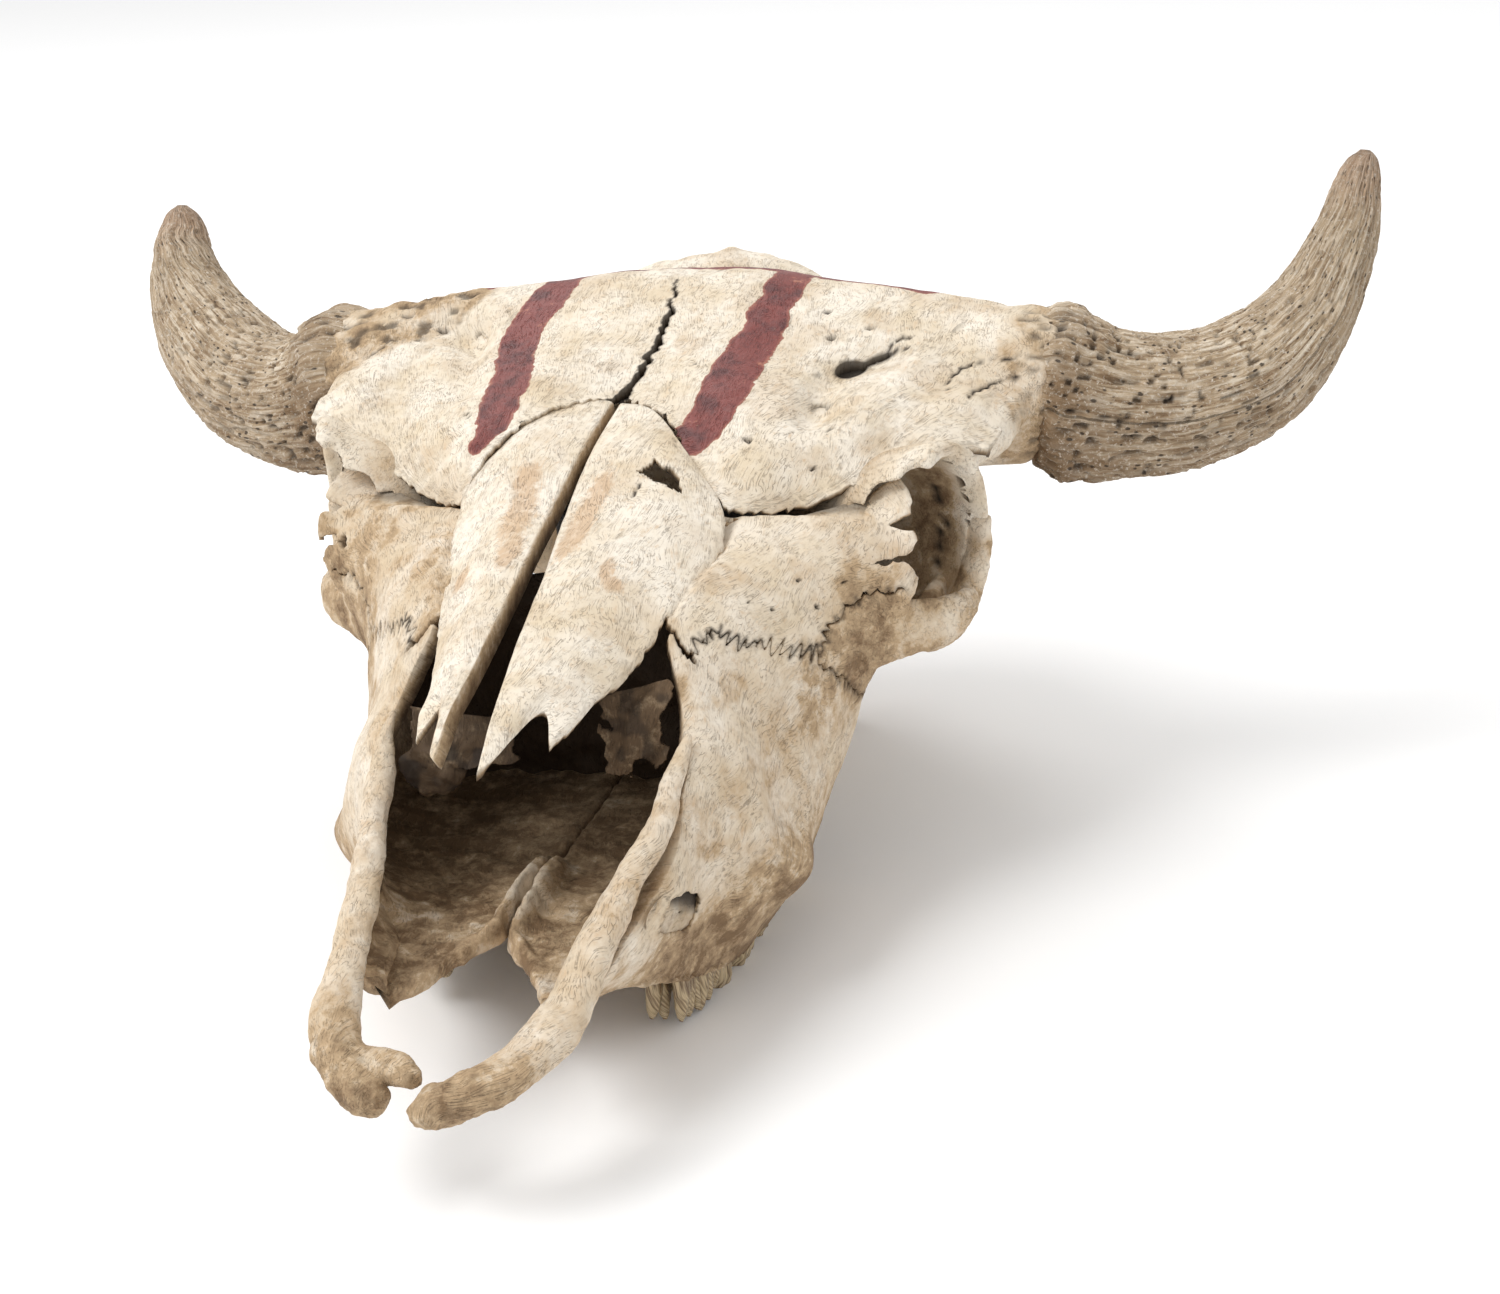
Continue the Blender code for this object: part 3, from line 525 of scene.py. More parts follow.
def boneLook(name, settings, painted=False):
    # dry compact bone, sun-bleached and split by fine weathering cracks along its grain
    look, add = newLook(name)
    grain, place, stain, dark, wear = readMarks(add)

    # the grain swirls: the cracks' coordinates are pushed about by slow noise
    swirl = add("TexNoise", {"Scale": 0.035, "Detail": 1.0}, {"Vector": grain})
    centred = add("VectorMath", {"operation": "SUBTRACT", 1: (0.5, 0.5, 0.5)}, {0: swirl.outputs["Color"]})
    pushed = add("VectorMath", {"operation": "MULTIPLY_ADD", 1: (22.0, 22.0, 0.0)}, {0: centred, 2: grain})
    perCrack = (1 / settings["hairlineAlong"], 1 / settings["hairlineAcross"], 0.5)
    stretch = add("VectorMath", {"operation": "MULTIPLY", 1: perCrack}, {0: pushed})
    worms = add("TexNoise", {"Scale": 1.0, "Detail": 1.5, "Roughness": 0.6, "Distortion": 0.5}, {"Vector": stretch})
    away = add("Math", {"operation": "SUBTRACT", 1: 0.5}, {0: worms})
    away = add("Math", {"operation": "ABSOLUTE"}, {0: away})
    thin = add("MapRange", {"From Min": 0.0, "From Max": 0.034, "To Min": 1.0, "To Max": 0.0}, {"Value": away})
    fine = add("TexNoise", {"Scale": 330.0, "Detail": 3.0, "Roughness": 0.7}, {"Vector": place})
    broken = add("MapRange", {"From Min": 0.40, "From Max": 0.52}, {"Value": fine})
    patches = add("TexNoise", {"Scale": 0.06, "Detail": 2.0}, {"Vector": grain})
    ends = {"From Min": 0.36, "From Max": 0.60, "To Min": 0.35, "To Max": 1.0}
    patchy = add("MapRange", ends, {"Value": patches})
    hairline = add("Math", {"operation": "MULTIPLY", "use_clamp": True}, {0: thin, 1: patchy})
    hairline = add("Math", {"operation": "MULTIPLY", "use_clamp": True}, {0: hairline, 1: broken})

    # colour: bleached ivory where the sun reached, cream and tan between
    broad = add("TexNoise", {"Scale": 34.0, "Detail": 4.0, "Roughness": 0.62}, {"Vector": place})
    bands = [(0.34, settings["cream"]), (0.6, settings["ivory"]), (1.0, settings["ivory"])]
    ground = add("ValToRGB", {"ramp": bands}, {"Fac": broad})
    flecks = add("MapRange", {"From Min": 0.53, "From Max": 0.70, "To Min": 0.0, "To Max": 0.3}, {"Value": fine})
    ground = add("Mix", {"data_type": "RGBA", 7: settings["tan"]}, {0: flecks, 6: ground})

    # stains: the mark's strength, broken up by noise, shifts bone to tan and then to brown
    streaks = add("TexNoise", {"Scale": 95.0, "Detail": 5.0, "Roughness": 0.72}, {"Vector": place})
    level = add("Math", {"operation": "ADD", 1: settings["stainAll"]}, {0: stain})
    loose = add("MapRange", {"From Min": 0.3, "From Max": 0.7, "To Min": -0.75, "To Max": 0.75}, {"Value": streaks})
    gate = add("Math", {"operation": "MULTIPLY_ADD", "use_clamp": True}, {0: loose, 1: level, 2: level})
    toTan = add("MapRange", {"From Min": 0.0, "From Max": 0.5}, {"Value": gate})
    toBrown = add("MapRange", {"From Min": 0.4, "From Max": 1.0}, {"Value": gate})
    body = add("Mix", {"data_type": "RGBA", 7: settings["tan"]}, {0: toTan, 6: ground})
    body = add("Mix", {"data_type": "RGBA", 7: settings["brown"]}, {0: toBrown, 6: body})

    # abraded patches have lost the bleached skin of the bone, in streaks along the grain
    rubbed = add("Math", {"operation": "MULTIPLY_ADD", 1: 1.5, 2: -0.75}, {0: fine})
    rubbed = add("Math", {"operation": "MULTIPLY_ADD", 1: 2.2}, {0: away, 2: rubbed})
    rubbed = add("Math", {"operation": "ADD"}, {0: rubbed, 1: wear})
    rubbed = add("MapRange", {"From Min": 0.3, "From Max": 1.1, "To Max": 0.75}, {"Value": rubbed})
    body = add("Mix", {"data_type": "RGBA", 7: settings["abraded"]}, {0: rubbed, 6: body})
    lined = add("Math", {"operation": "MULTIPLY", 1: 0.42}, {0: hairline})
    body = add("Mix", {"data_type": "RGBA", 7: settings["hairline"]}, {0: lined, 6: body})
    # the dark mark: painted shade in pits, cracks, hollows and under overhangs, and dirt along the joints
    body = add("Mix", {"data_type": "RGBA", 7: settings["deepBrown"]}, {0: dark, 6: body})

    grit = add("Math", {"operation": "MULTIPLY", 1: 0.6}, {0: fine})
    height = add("Math", {"operation": "MULTIPLY_ADD", 1: -0.8}, {0: hairline, 2: grit})
    colour, roughLink = body, {}
    if painted:
        # thin matt paint dragged over rough bone: ragged edges, bare specks and thin salmon places
        stripe = add("Attribute", {"attribute_name": "stripe"}).outputs["Fac"]
        frayed = add("TexNoise", {"Scale": 160.0, "Detail": 3.0, "Roughness": 0.6}, {"Vector": place})
        frayed = add("Math", {"operation": "SUBTRACT", 1: 0.5}, {0: frayed})
        edge = add("Math", {"operation": "MULTIPLY_ADD", 1: 2 * paintSettings["raggedBy"]}, {0: frayed, 2: stripe})
        cover = add("MapRange", {"From Min": -0.15, "From Max": 0.25}, {"Value": edge})
        shade = add("TexNoise", {"Scale": 75.0, "Detail": 5.0, "Roughness": 0.68}, {"Vector": place})
        maroon, salmon = paintSettings["maroon"], paintSettings["salmon"]
        bands = [(0.36, paintSettings["darkMaroon"]), (0.52, maroon), (0.62, maroon), (0.72, salmon)]
        coat = add("ValToRGB", {"ramp": bands}, {"Fac": shade})
        rim = add("MapRange", {"From Min": 0.1, "From Max": 1.4, "To Min": 0.6, "To Max": 0.0}, {"Value": edge})
        coat = add("Mix", {"data_type": "RGBA", 7: salmon}, {0: rim, 6: coat})
        ends = {"From Min": 0.68, "From Max": 0.75, "To Min": 1.0, "To Max": 0.35}
        missed = add("MapRange", ends, {"Value": fine})
        cover = add("Math", {"operation": "MULTIPLY", "use_clamp": True}, {0: cover, 1: missed})
        colour = add("Mix", {"data_type": "RGBA"}, {0: cover, 6: colour, 7: coat})
        ends = {"To Min": settings["roughness"], "To Max": paintSettings["roughness"]}
        roughLink["Roughness"] = add("MapRange", ends, {"Value": cover})
        height = add("Math", {"operation": "MULTIPLY_ADD", 1: 0.5}, {0: cover, 2: height})
    bump = add("Bump", {"Strength": 0.75, "Distance": 0.0007}, {"Height": height})
    shader = add("BsdfPrincipled", {"Roughness": settings["roughness"], "IOR": settings["ior"], "Metallic": 0.0},
                 {"Base Color": colour, "Normal": bump, **roughLink})
    add("OutputMaterial", links={"Surface": shader})
    return look


hornSettings = {
    "pale": "#E4D5BF", "grey": "#BCA587", "brown": "#7B6042", "pit": "#33271C", "tip": "#C29E84", "dust": "#ECE2D3",
    "grooveAlong": 17.0, "grooveAround": 1.7, "pitLong": 3.8, "pitWide": 1.7,  # millimetres
    "roughness": 0.72, "ior": 1.5,
}


def hornLook():
    # spongy core bone, left rough and furrowed where blood vessels ran under the horn
    look, add = newLook("furrowed horn core bone")
    grain, place, stain, dark, wear = readMarks(add)
    perGroove = (1 / hornSettings["grooveAlong"], 1 / hornSettings["grooveAround"], 0.0)
    stretch = add("VectorMath", {"operation": "MULTIPLY", 1: perGroove}, {0: grain})
    swirls = {"Scale": 1.0, "Detail": 4.0, "Roughness": 0.7, "Distortion": 0.6}
    furrow = add("TexNoise", swirls, {"Vector": stretch})
    perPit = (1 / hornSettings["pitLong"], 1 / hornSettings["pitWide"], 0.0)
    dots = add("VectorMath", {"operation": "MULTIPLY", 1: perPit}, {0: grain})
    cells = add("TexVoronoi", {"Scale": 1.0, "Randomness": 1.0}, {"Vector": dots})
    chance = add("SeparateColor", links={"Color": cells.outputs["Color"]})
    size = add("MapRange", {"From Min": 0.35, "From Max": 1.0, "To Min": 0.0, "To Max": 0.30}, {"Value": chance})
    pit = add("Math", {"operation": "SUBTRACT"}, {0: size, 1: cells.outputs["Distance"]})
    pit = add("MapRange", {"From Min": -0.05, "From Max": 0.07}, {"Value": pit})
    broad = add("TexNoise", {"Scale": 40.0, "Detail": 4.0}, {"Vector": place})
    fine = add("TexNoise", {"Scale": 620.0, "Detail": 3.0, "Roughness": 0.75}, {"Vector": place})
    # painted shade in the furrows and painted light on the ridges
    bands = [(0.36, hornSettings["brown"]), (0.49, hornSettings["grey"]), (0.6, hornSettings["pale"])]
    lit = add("ValToRGB", {"ramp": bands}, {"Fac": furrow})
    tint = add("MapRange", {"From Min": 0.35, "From Max": 0.7, "To Min": 0.0, "To Max": 0.55}, {"Value": broad})
    body = add("Mix", {"data_type": "RGBA", 7: hornSettings["grey"]}, {0: tint, 6: lit})
    tipped = add("Math", {"operation": "MULTIPLY", 1: 0.55}, {0: wear})
    body = add("Mix", {"data_type": "RGBA", 7: hornSettings["tip"]}, {0: tipped, 6: body})
    # the stain mark: browning near the skull, and painted shade on the undersides
    browned = add("Math", {"operation": "MULTIPLY", 1: 0.8}, {0: stain})
    body = add("Mix", {"data_type": "RGBA", 7: hornSettings["brown"]}, {0: browned, 6: body})
    speck = add("MapRange", {"From Min": 0.55, "From Max": 0.68, "To Max": 0.65}, {"Value": fine})
    body = add("Mix", {"data_type": "RGBA", 7: hornSettings["dust"]}, {0: speck, 6: body})
    # painted shade in the pits
    holes = add("Math", {"operation": "MAXIMUM"}, {0: pit, 1: dark})
    holes = add("Math", {"operation": "MULTIPLY", 1: 0.85}, {0: holes})
    body = add("Mix", {"data_type": "RGBA", 7: hornSettings["pit"]}, {0: holes, 6: body})
    height = add("Math", {"operation": "MULTIPLY", 1: 1.6}, {0: furrow})
    height = add("Math", {"operation": "MULTIPLY_ADD", 1: -0.9}, {0: pit, 2: height})
    height = add("Math", {"operation": "MULTIPLY_ADD", 1: 0.7}, {0: fine, 2: height})
    bump = add("Bump", {"Strength": 0.9, "Distance": 0.0012}, {"Height": height})
    shader = add("BsdfPrincipled", {"Roughness": hornSettings["roughness"], "IOR": hornSettings["ior"]},
                 {"Base Color": body, "Normal": bump})
    add("OutputMaterial", links={"Surface": shader})
    return look


enamelSettings = {"cream": "#CDB893", "brown": "#6B5238", "roughness": 0.42, "ior": 1.62}


def enamelLook():
    # tooth enamel and root, glossier than bone and stained brown down its furrows
    look, add = newLook("stained tooth enamel")
    grain = add("Attribute", {"attribute_name": "grain"}).outputs["Vector"]
    stretch = add("VectorMath", {"operation": "MULTIPLY", 1: (0.08, 0.7, 0.0)}, {0: grain})
    streak = add("TexNoise", {"Scale": 1.0, "Detail": 4.0}, {"Vector": stretch})
    bands = [(0.38, enamelSettings["brown"]), (0.58, enamelSettings["cream"])]
    colour = add("ValToRGB", {"ramp": bands}, {"Fac": streak})
    bump = add("Bump", {"Strength": 0.5, "Distance": 0.0005}, {"Height": streak})
    shader = add("BsdfPrincipled", {"Roughness": enamelSettings["roughness"], "IOR": enamelSettings["ior"]},
                 {"Base Color": colour, "Normal": bump})
    add("OutputMaterial", links={"Surface": shader})
    return look


bleachedBone = boneLook("sun-bleached bone", boneSettings)
paintedBone = boneLook("sun-bleached bone with red stripes", boneSettings, painted=True)
# bone inside the nose: stained, and darker all over as painted shade
innerShadedSettings = {**boneSettings, "stainAll": 0.6, "ivory": "#C9B292", "cream": "#A58A68"}
shadedCavityBone = boneLook("soil-stained inner bone", innerShadedSettings)
hornBone = hornLook()
toothEnamel = enamelLook()
print("materials made")


def hornSkin(points):
    # how far a point of the skull already wears the rough skin of the horn cores
    x, y = points[:, 0], points[:, 1]
    border = np.interp(-x, [92, 104, 112, 135, 156], [119, 102, 91, 83, 75])
    far = smoothStep(y - border + 4 * noiseAt(points, 9, 12), -3, 5) * smoothStep(-x, 86, 96)
    near = 0.9 * smoothStep(x + 6 * noiseAt(points, 7, 13), 143, 154) * smoothStep(y, 62, 80)
    return np.maximum(far, near)


def addHornSkin(shape, normals):
    share = hornSkin(shape["points"])
    drawn = shape["points"] * [0.45, 1.0, 1.0]
    pits = smoothStep(noiseAt(drawn, 2.4, 14), 0.25, 0.6)
    height = 0.9 * noiseAt(shape["points"], 7.0, 15) + 0.6 * noiseAt(drawn, 2.8, 16) - 0.9 * pits
    shape["points"] = shape["points"] + normals * (share * height)[:, None]
    brown = 0.42 + 0.3 * noiseAt(shape["points"], 12.0, 17)
    shape["stain"] = np.maximum(shape["stain"], share * brown)
    # painted shade in the pits of the rough skin
    darken(shape, 0.7 * share * pits)


# Forehead, horn cores and braincase

foreheadSettings = {
    "grid": [
        [(0, 38, 193), (18, 29, 190), (33, 8, 179), (52, -12, 165), (74, 0, 160), (98, 13, 168), (124, 28, 178),
         (146, 40, 175)],
        [(0, 62, 203), (20, 54, 202), (40, 36, 197), (62, 20, 188), (85, 26, 185), (106, 38, 186), (128, 50, 187),
         (149, 58, 178)],
        [(0, 92, 214), (24, 90, 213), (48, 84, 209), (72, 76, 203), (94, 74, 199), (114, 78, 197), (133, 84, 195),
         (152, 92, 190)],
        [(0, 128, 226), (30, 128, 226), (55, 128, 223), (80, 127, 221), (107, 125, 218), (125, 123, 216),
         (139, 121, 214), (150, 119, 208)],
        [(0, 165, 221), (30, 164, 220), (60, 160, 215), (85, 154, 206), (105, 150, 198), (120, 146, 190),
         (131, 142, 180), (140, 138, 170)],
    ],
    "edgeThickness": 3.2, "thickness": 9.0, "cell": 1.3, "gapCell": 0.62,
    # on the far side the front edge arches back over the nasal bone: columns from the middle, rows
    "farArch": [(0.0, 0.0), (0.5, 0.06), (1.04, 0.26), (1.56, 0.5), (1.92, 0.57), (2.32, 0.57), (2.64, 0.52),
                (2.9, 0.38), (3.12, 0.18), (3.35, 0)],
    "holeAxis": (0.2, -0.8, 0.5),  # all holes run back and down into the bone
    # the brow's own nerve hole and the slit beside it: place, long side, half length, half height
    "foramen": [((84, 71, 200.5), (0.93, 0.3, 0.3), 6.6, 3.9), ((93, 79, 202.5), (0.9, 0.3, 0.45), 8.0, 1.25)],
    "holes": [  # x, y, z, half height, half width, depth, direction of the long side
        (78, 41, 193, 2, 3.6, 4.5, (1, 0.1, 0)), (72, 62, 200, 0.8, 1.3, 2, (1, 0, 0)),
        (72, 89, 208, 1.1, 2, 4, (1, 0, 0)), (87, 96, 210, 0.9, 1.8, 4, (1, 0, 0)),
        (67, 105, 215, 0.8, 2.2, 1.5, (1, 0, 0)), (55, 14, 185, 1.1, 1.8, 3, (1, 0, 0)),
        (81, 13, 174, 1, 1.3, 3, (1, 0, 0)), (85, 27, 186, 0.8, 1.2, 1.5, (1, 0, 0)),
        (-86, 90, 208, 1.7, 5.5, 6, (0.35, 0.3, -1)), (-107, 99, 209, 1.2, 2.4, 4, (1, 0, 0)),
        (-77, 106, 215, 0.8, 1.3, 3, (1, 0, 0)), (-130, 102, 208, 0.9, 3.6, 2, (1, 0, 0)),
    ],
    "ridges": [  # broad swells and dents: points, reach, height
        ([(99, 84, 203), (93, 79, 202), (86, 74, 201), (80, 67, 200), (75, 55, 197), (76, 43, 194), (76, 32, 190)],
         7, -4.2),
        ([(78, 44, 194), (80, 40, 192)], 7, -3),
        ([(108, 78, 201), (104, 60, 198), (98, 40, 192), (94, 26, 186)], 10, 3.4),
        ([(66, 50, 198), (64, 34, 193)], 8, 1.5),
        ([(-104, 102, 210), (-94, 96, 208), (-88, 88, 206), (-84, 72, 201), (-80, 48, 195)], 9, -3.6),
        ([(-94, 97, 208), (-90, 90, 207)], 8, -4),
        ([(-76, 98, 212), (-74, 84, 208), (-72, 66, 202)], 6, 1.6),
        ([(-118, 84, 203), (-128, 70, 196), (-140, 60, 184)], 9, 2.2),
    ],
}

midlineJoint = [(-6, 37, 192), (-4, 48, 197), (-2, 59, 202), (-1, 72, 207), (-1, 81, 210), (-1, 91, 213),
                (-2, 104, 219), (-2, 112, 222), (-4, 122, 225)]


def gapInside(points):
    # positive inside the open joint between the two frontal bones, which gapes towards the nose
    y = points[..., 1]
    line = np.array(midlineJoint, float)
    run = np.stack([y, y * 0, y * 0], -1)
    middle = np.interp(y, line[:, 1], line[:, 0]) + 1.5 * noiseAt(run, 5, 6) + 1 * noiseAt(run, 1.9, 7)
    half = np.interp(y, [37, 48, 59, 81, 96, 106, 114, 123], [2.9, 2, 1.7, 1.5, 1.2, 0.75, 0.5, 0.25])
    side = np.sign(points[..., 0] - middle)
    half = half * (1 + 0.55 * noiseAt(run + np.stack([side * 40, y * 0, y * 0], -1), 2.4, 8))
    inside = half - np.abs(points[..., 0] - middle)
    return np.where((y < 123) & (y > 20), inside, -10)


def wholeForehead():
    left = np.array(foreheadSettings["grid"], float)
    return np.concatenate([sided(left, rightSide)[:, :0:-1], left], axis=1)


def stripeDistance(points):
    # how far inside a painted stripe a point lies, seen from above, in millimetres
    stripes = [  # centre line x, y and half width
        [(31, 17, 9.5), (35, 22, 11), (38, 33, 11), (40, 50, 11), (41, 66, 10), (41, 80, 10.5), (43, 95, 9.5),
         (45, 110, 8.5), (46, 140, 8.5)],
        [(-57, 8, 3.5), (-54, 18, 8), (-56, 40, 10), (-60, 60, 9), (-64, 82, 9.5), (-63, 100, 9), (-60, 115, 9.5),
         (-59, 140, 9.5)],
        [(-92, 139, 9), (-60, 144, 10), (-20, 149, 10), (20, 149, 10), (60, 144, 10.5), (104, 134, 10)],
    ]
    flat = points[:, :2]
    best = np.full(len(points), noStripe)
    for stripe in stripes:
        stripe = np.array(stripe, float)
        for a, b in zip(stripe[:-1], stripe[1:]):
            step = b[:2] - a[:2]
            t = np.clip((flat - a[:2]) @ step / (step @ step), 0, 1)
            half = a[2] + t * (b[2] - a[2])
            best = np.maximum(best, half - np.linalg.norm(flat - a[:2] - t[:, None] * step, axis=1))
    wander = 1.6 * noiseAt(points, 14, 31) + 0.9 * noiseAt(points, 5, 32)
    return best + wander


def skullRelief(points):
    # shared by the forehead and the bone round it, so that they meet in one surface
    return 0.7 * noiseAt(points, 26, 3) + 0.28 * noiseAt(points, 9, 4) + 0.12 * noiseAt(points, 3.5, 5)


frontView = (0.27, -0.9, 0.35)
hornRootCracks = [
    [(120, 83, 187), (122, 84, 191), (127, 87, 196), (138, 88, 199), (147, 89, 200), (158, 90, 201)],
    [(125, 83, 176), (127, 83, 181), (130, 83, 185), (140, 84, 190), (146, 85, 192), (152, 86, 194)],
    [(97, 82, 203), (102, 87, 205), (107, 86, 205)], [(97, 82, 203), (99, 90, 207), (107, 93, 208)],
    [(20, 62, 204), (22, 58, 203)], [(-70, 30, 190), (-66, 26, 188)],
]
socketCracks = [
    [(122, 40, 162), (124, 44, 156), (124, 45, 147), (125, 47, 141), (128, 55, 139), (132, 64, 137)],
    [(125, 46, 140), (124, 44, 128), (119, 33, 121)],
]


def cutHornRootCracks(shape, normals):
    for k, line in enumerate(hornRootCracks):
        jagged = zigzag(line, 2.4, 0.6, 20 + k, frontView)
        cutCrack(shape, normals, jagged, 0.9, 1.2, 20 + k, across=frontView)


def ovalLevel(points, centre, axis, longWay, halfLong, halfShort):
    # millimetres outside an oval hole drilled along the axis, negative inside it
    axis = unit(axis)
    longWay = unitAcross(axis, longWay)
    offset = points - centre
    ring = np.hypot(offset @ longWay / halfLong, offset @ np.cross(axis, longWay) / halfShort)
    ring = ring + 0.08 * noiseAt(points, 4, 86)
    return np.where(np.abs(offset @ axis) < 16, (ring - 1) * halfShort, 20)


def browHoleLevel(points):
    axis = foreheadSettings["holeAxis"]
    hole, slit = foreheadSettings["foramen"]
    return np.minimum(ovalLevel(points, hole[0], axis, *hole[1:]), ovalLevel(points, slit[0], axis, *slit[1:]))


def ofFour(values):
    # the sum over the four corners of each cell
    return values[:-1, :-1] + values[1:, :-1] + values[:-1, 1:] + values[1:, 1:]


def cellBorder(keep):
    # the corners where kept and dropped cells meet
    touched = ofFour(np.pad(keep, 1).astype(int))
    return (touched > 0) & (touched < 4)


def slideToEdge(points, level, keep):
    # moves the corners of the last kept cells onto the line where the level is zero
    border = cellBorder(keep)
    down, over = np.gradient(points, axis=0), np.gradient(points, axis=1)
    downLength = np.maximum(np.linalg.norm(down, axis=-1), 1e-6)
    overLength = np.maximum(np.linalg.norm(over, axis=-1), 1e-6)
    slopeDown, slopeOver = np.gradient(level)
    slopeDown, slopeOver = slopeDown / downLength, slopeOver / overLength
    steep = np.maximum(slopeDown**2 + slopeOver**2, 0.15)
    reach = 0.9 * np.minimum(downLength, overLength)
    slide = np.clip(level / steep, -reach, reach) * border
    byDown, byOver = slide * slopeDown / downLength, slide * slopeOver / overLength
    return points - byDown[..., None] * down - byOver[..., None] * over


def foreheadShape():
    grid = wholeForehead()
    cell = foreheadSettings["cell"]
    middleColumn = (grid.shape[1] - 1) / 2
    rows = np.concatenate([np.linspace(0, 0.25, 10)[:-1], np.linspace(0.25, 3.75, int(150 / cell))])
    near = np.arange(0.0, 0.55, foreheadSettings["gapCell"] / 20.0)
    beyond = np.linspace(0.55, middleColumn, int(138 / cell))
    columns = np.concatenate([near, beyond])
    columns = np.concatenate([-columns[:0:-1], columns])
    r, u = np.meshgrid(rows, columns, indexing="ij")
    # the plate's sides end proud over the eye sockets, and further back sink into the skull
    inset = 0.02 + 0.24 * smoothStep(r, 0.95, 1.8)
    c = middleColumn + u * (1 - inset / middleColumn)
    # the front edge is nibbled into fine teeth where it overlaps the bones below it
    across = np.stack([u * 20, u * 0, u * 0], -1)
    nibble = 0.03 * noiseAt(across, 2.4, 9) + 0.035 * noiseAt(across, 0.9, 10)
    arch = np.interp(-u, *np.array(foreheadSettings["farArch"]).T) * (u < 0)
    nearEdge = 0.03 - 0.06 * smoothStep(u, 0, 0.4) * fallOff(u, 2.6, 3) + nibble
    r = r + arch * fallOff(r, 0, 1.6) + nearEdge * fallOff(r, 0, 0.35)
    outer = surfaceAt(grid, r, c)
    normals = evened(latticeNormals(outer), 2)
    fromSide = np.minimum(c, 2 * middleColumn - c)
    sink = fallOff(fromSide, 0.05, 0.55) * smoothStep(r, 0.8, 1.6)
    sink = np.maximum(sink, smoothStep(r, 3.45, 3.7))
    lip = 0.9 * smoothStep(arch, 0, 0.3) * fallOff(r - arch, 0, 0.22)
    height = 0.35 - 2.2 * sink + skullRelief(outer) + lip
    for line, reach, high in foreheadSettings["ridges"]:
        distance, _ = nearestOnLine(outer.reshape(-1, 3), line, 3 * reach)
        height = height + high * bell(distance.reshape(r.shape) / reach)
    # the far hollow has a sharp inner wall
    wallLine = [(-86, 100, 211), (-83, 88, 207), (-82, 76, 204)]
    distance, _ = nearestOnLine(outer.reshape(-1, 3), wallLine, 14)
    height = height - 3 * bell(distance.reshape(r.shape) / 5) * smoothStep(-outer[..., 0], 83, 87)
    thin, full = foreheadSettings["edgeThickness"], foreheadSettings["thickness"]
    thick = thin + (full - thin) * smoothStep(r - arch, 0.05, 0.7)
    inner = outer + normals * (np.minimum(height, 1) - thick)[..., None]
    outer = outer + normals * height[..., None]
    opened = np.maximum(gapInside(outer), -browHoleLevel(outer))
    keep = ofFour(opened) / 4 < 0
    slid = slideToEdge(outer, -opened, keep) - outer
    shape = plateShape(outer + slid, inner + slid, keep, latticeGrain(outer))
    bend = vertexNormals(shape)
    top = shape["inside"] < 0.5
    bend = bend * top[:, None]
    # painted shade along the open midline joint and round the brow's holes
    near = np.maximum(gapInside(shape["points"]), -browHoleLevel(shape["points"]))
    darken(shape, 0.85 * smoothStep(near, -0.8, -0.05))
    for x, y, z, tall, wide, deep, way in foreheadSettings["holes"]:
        cutHole(shape, bend, np.array([x, y, z]), foreheadSettings["holeAxis"], tall, wide, deep, way)
    cutHornRootCracks(shape, bend)
    shape["stripe"] = np.where(top, stripeDistance(shape["points"]), noStripe)
    # the plate's inner face is made browner, and darker as painted shade under the plate
    shape["stain"] = np.maximum(0.7 * shape["inside"], 0.8 * stainAt(shape["points"]))
    darken(shape, 0.75 * shape["inside"])
    addHornSkin(shape, bend)
    return shape


socketCentre = np.array([131.0, 20.0, 141.0])
socketOut = np.array([0.92, -0.39, 0.0])
socketAlong = np.array([0.39, 0.92, 0.0])
rimSettings = {
    "depth": 3.0, "wide": 32.8, "tall": 43.0, "halfDepth": 6.0, "halfWall": 3.7, "lowWall": 4.6,
    "suture": 5.0,  # degrees: where the cranium's part of the rim meets the cheekbone's
}


def socketRing(depth, wide, tall, lift=0):
    return ringAt(socketCentre - socketOut * depth + skyward * lift, wide, tall, socketAlong, skyward, 64)


def rimStations(start, end, count):
    # by angle round the eye socket: 0 is behind the eye and 90 above it; the bar is thick below
    stations = []
    for angle in np.radians(np.linspace(start, end, count)):
        wall = rimSettings["halfWall"] + rimSettings["lowWall"] * max(0.0, -math.sin(angle)) ** 1.5
        centre = socketCentre - socketOut * rimSettings["depth"]
        centre = centre + socketAlong * (rimSettings["wide"] - wall) * math.cos(angle)
        centre = centre + skyward * (rimSettings["tall"] - wall) * math.sin(angle)
        stations.append((*centre, rimSettings["halfDepth"], wall))
    return stations


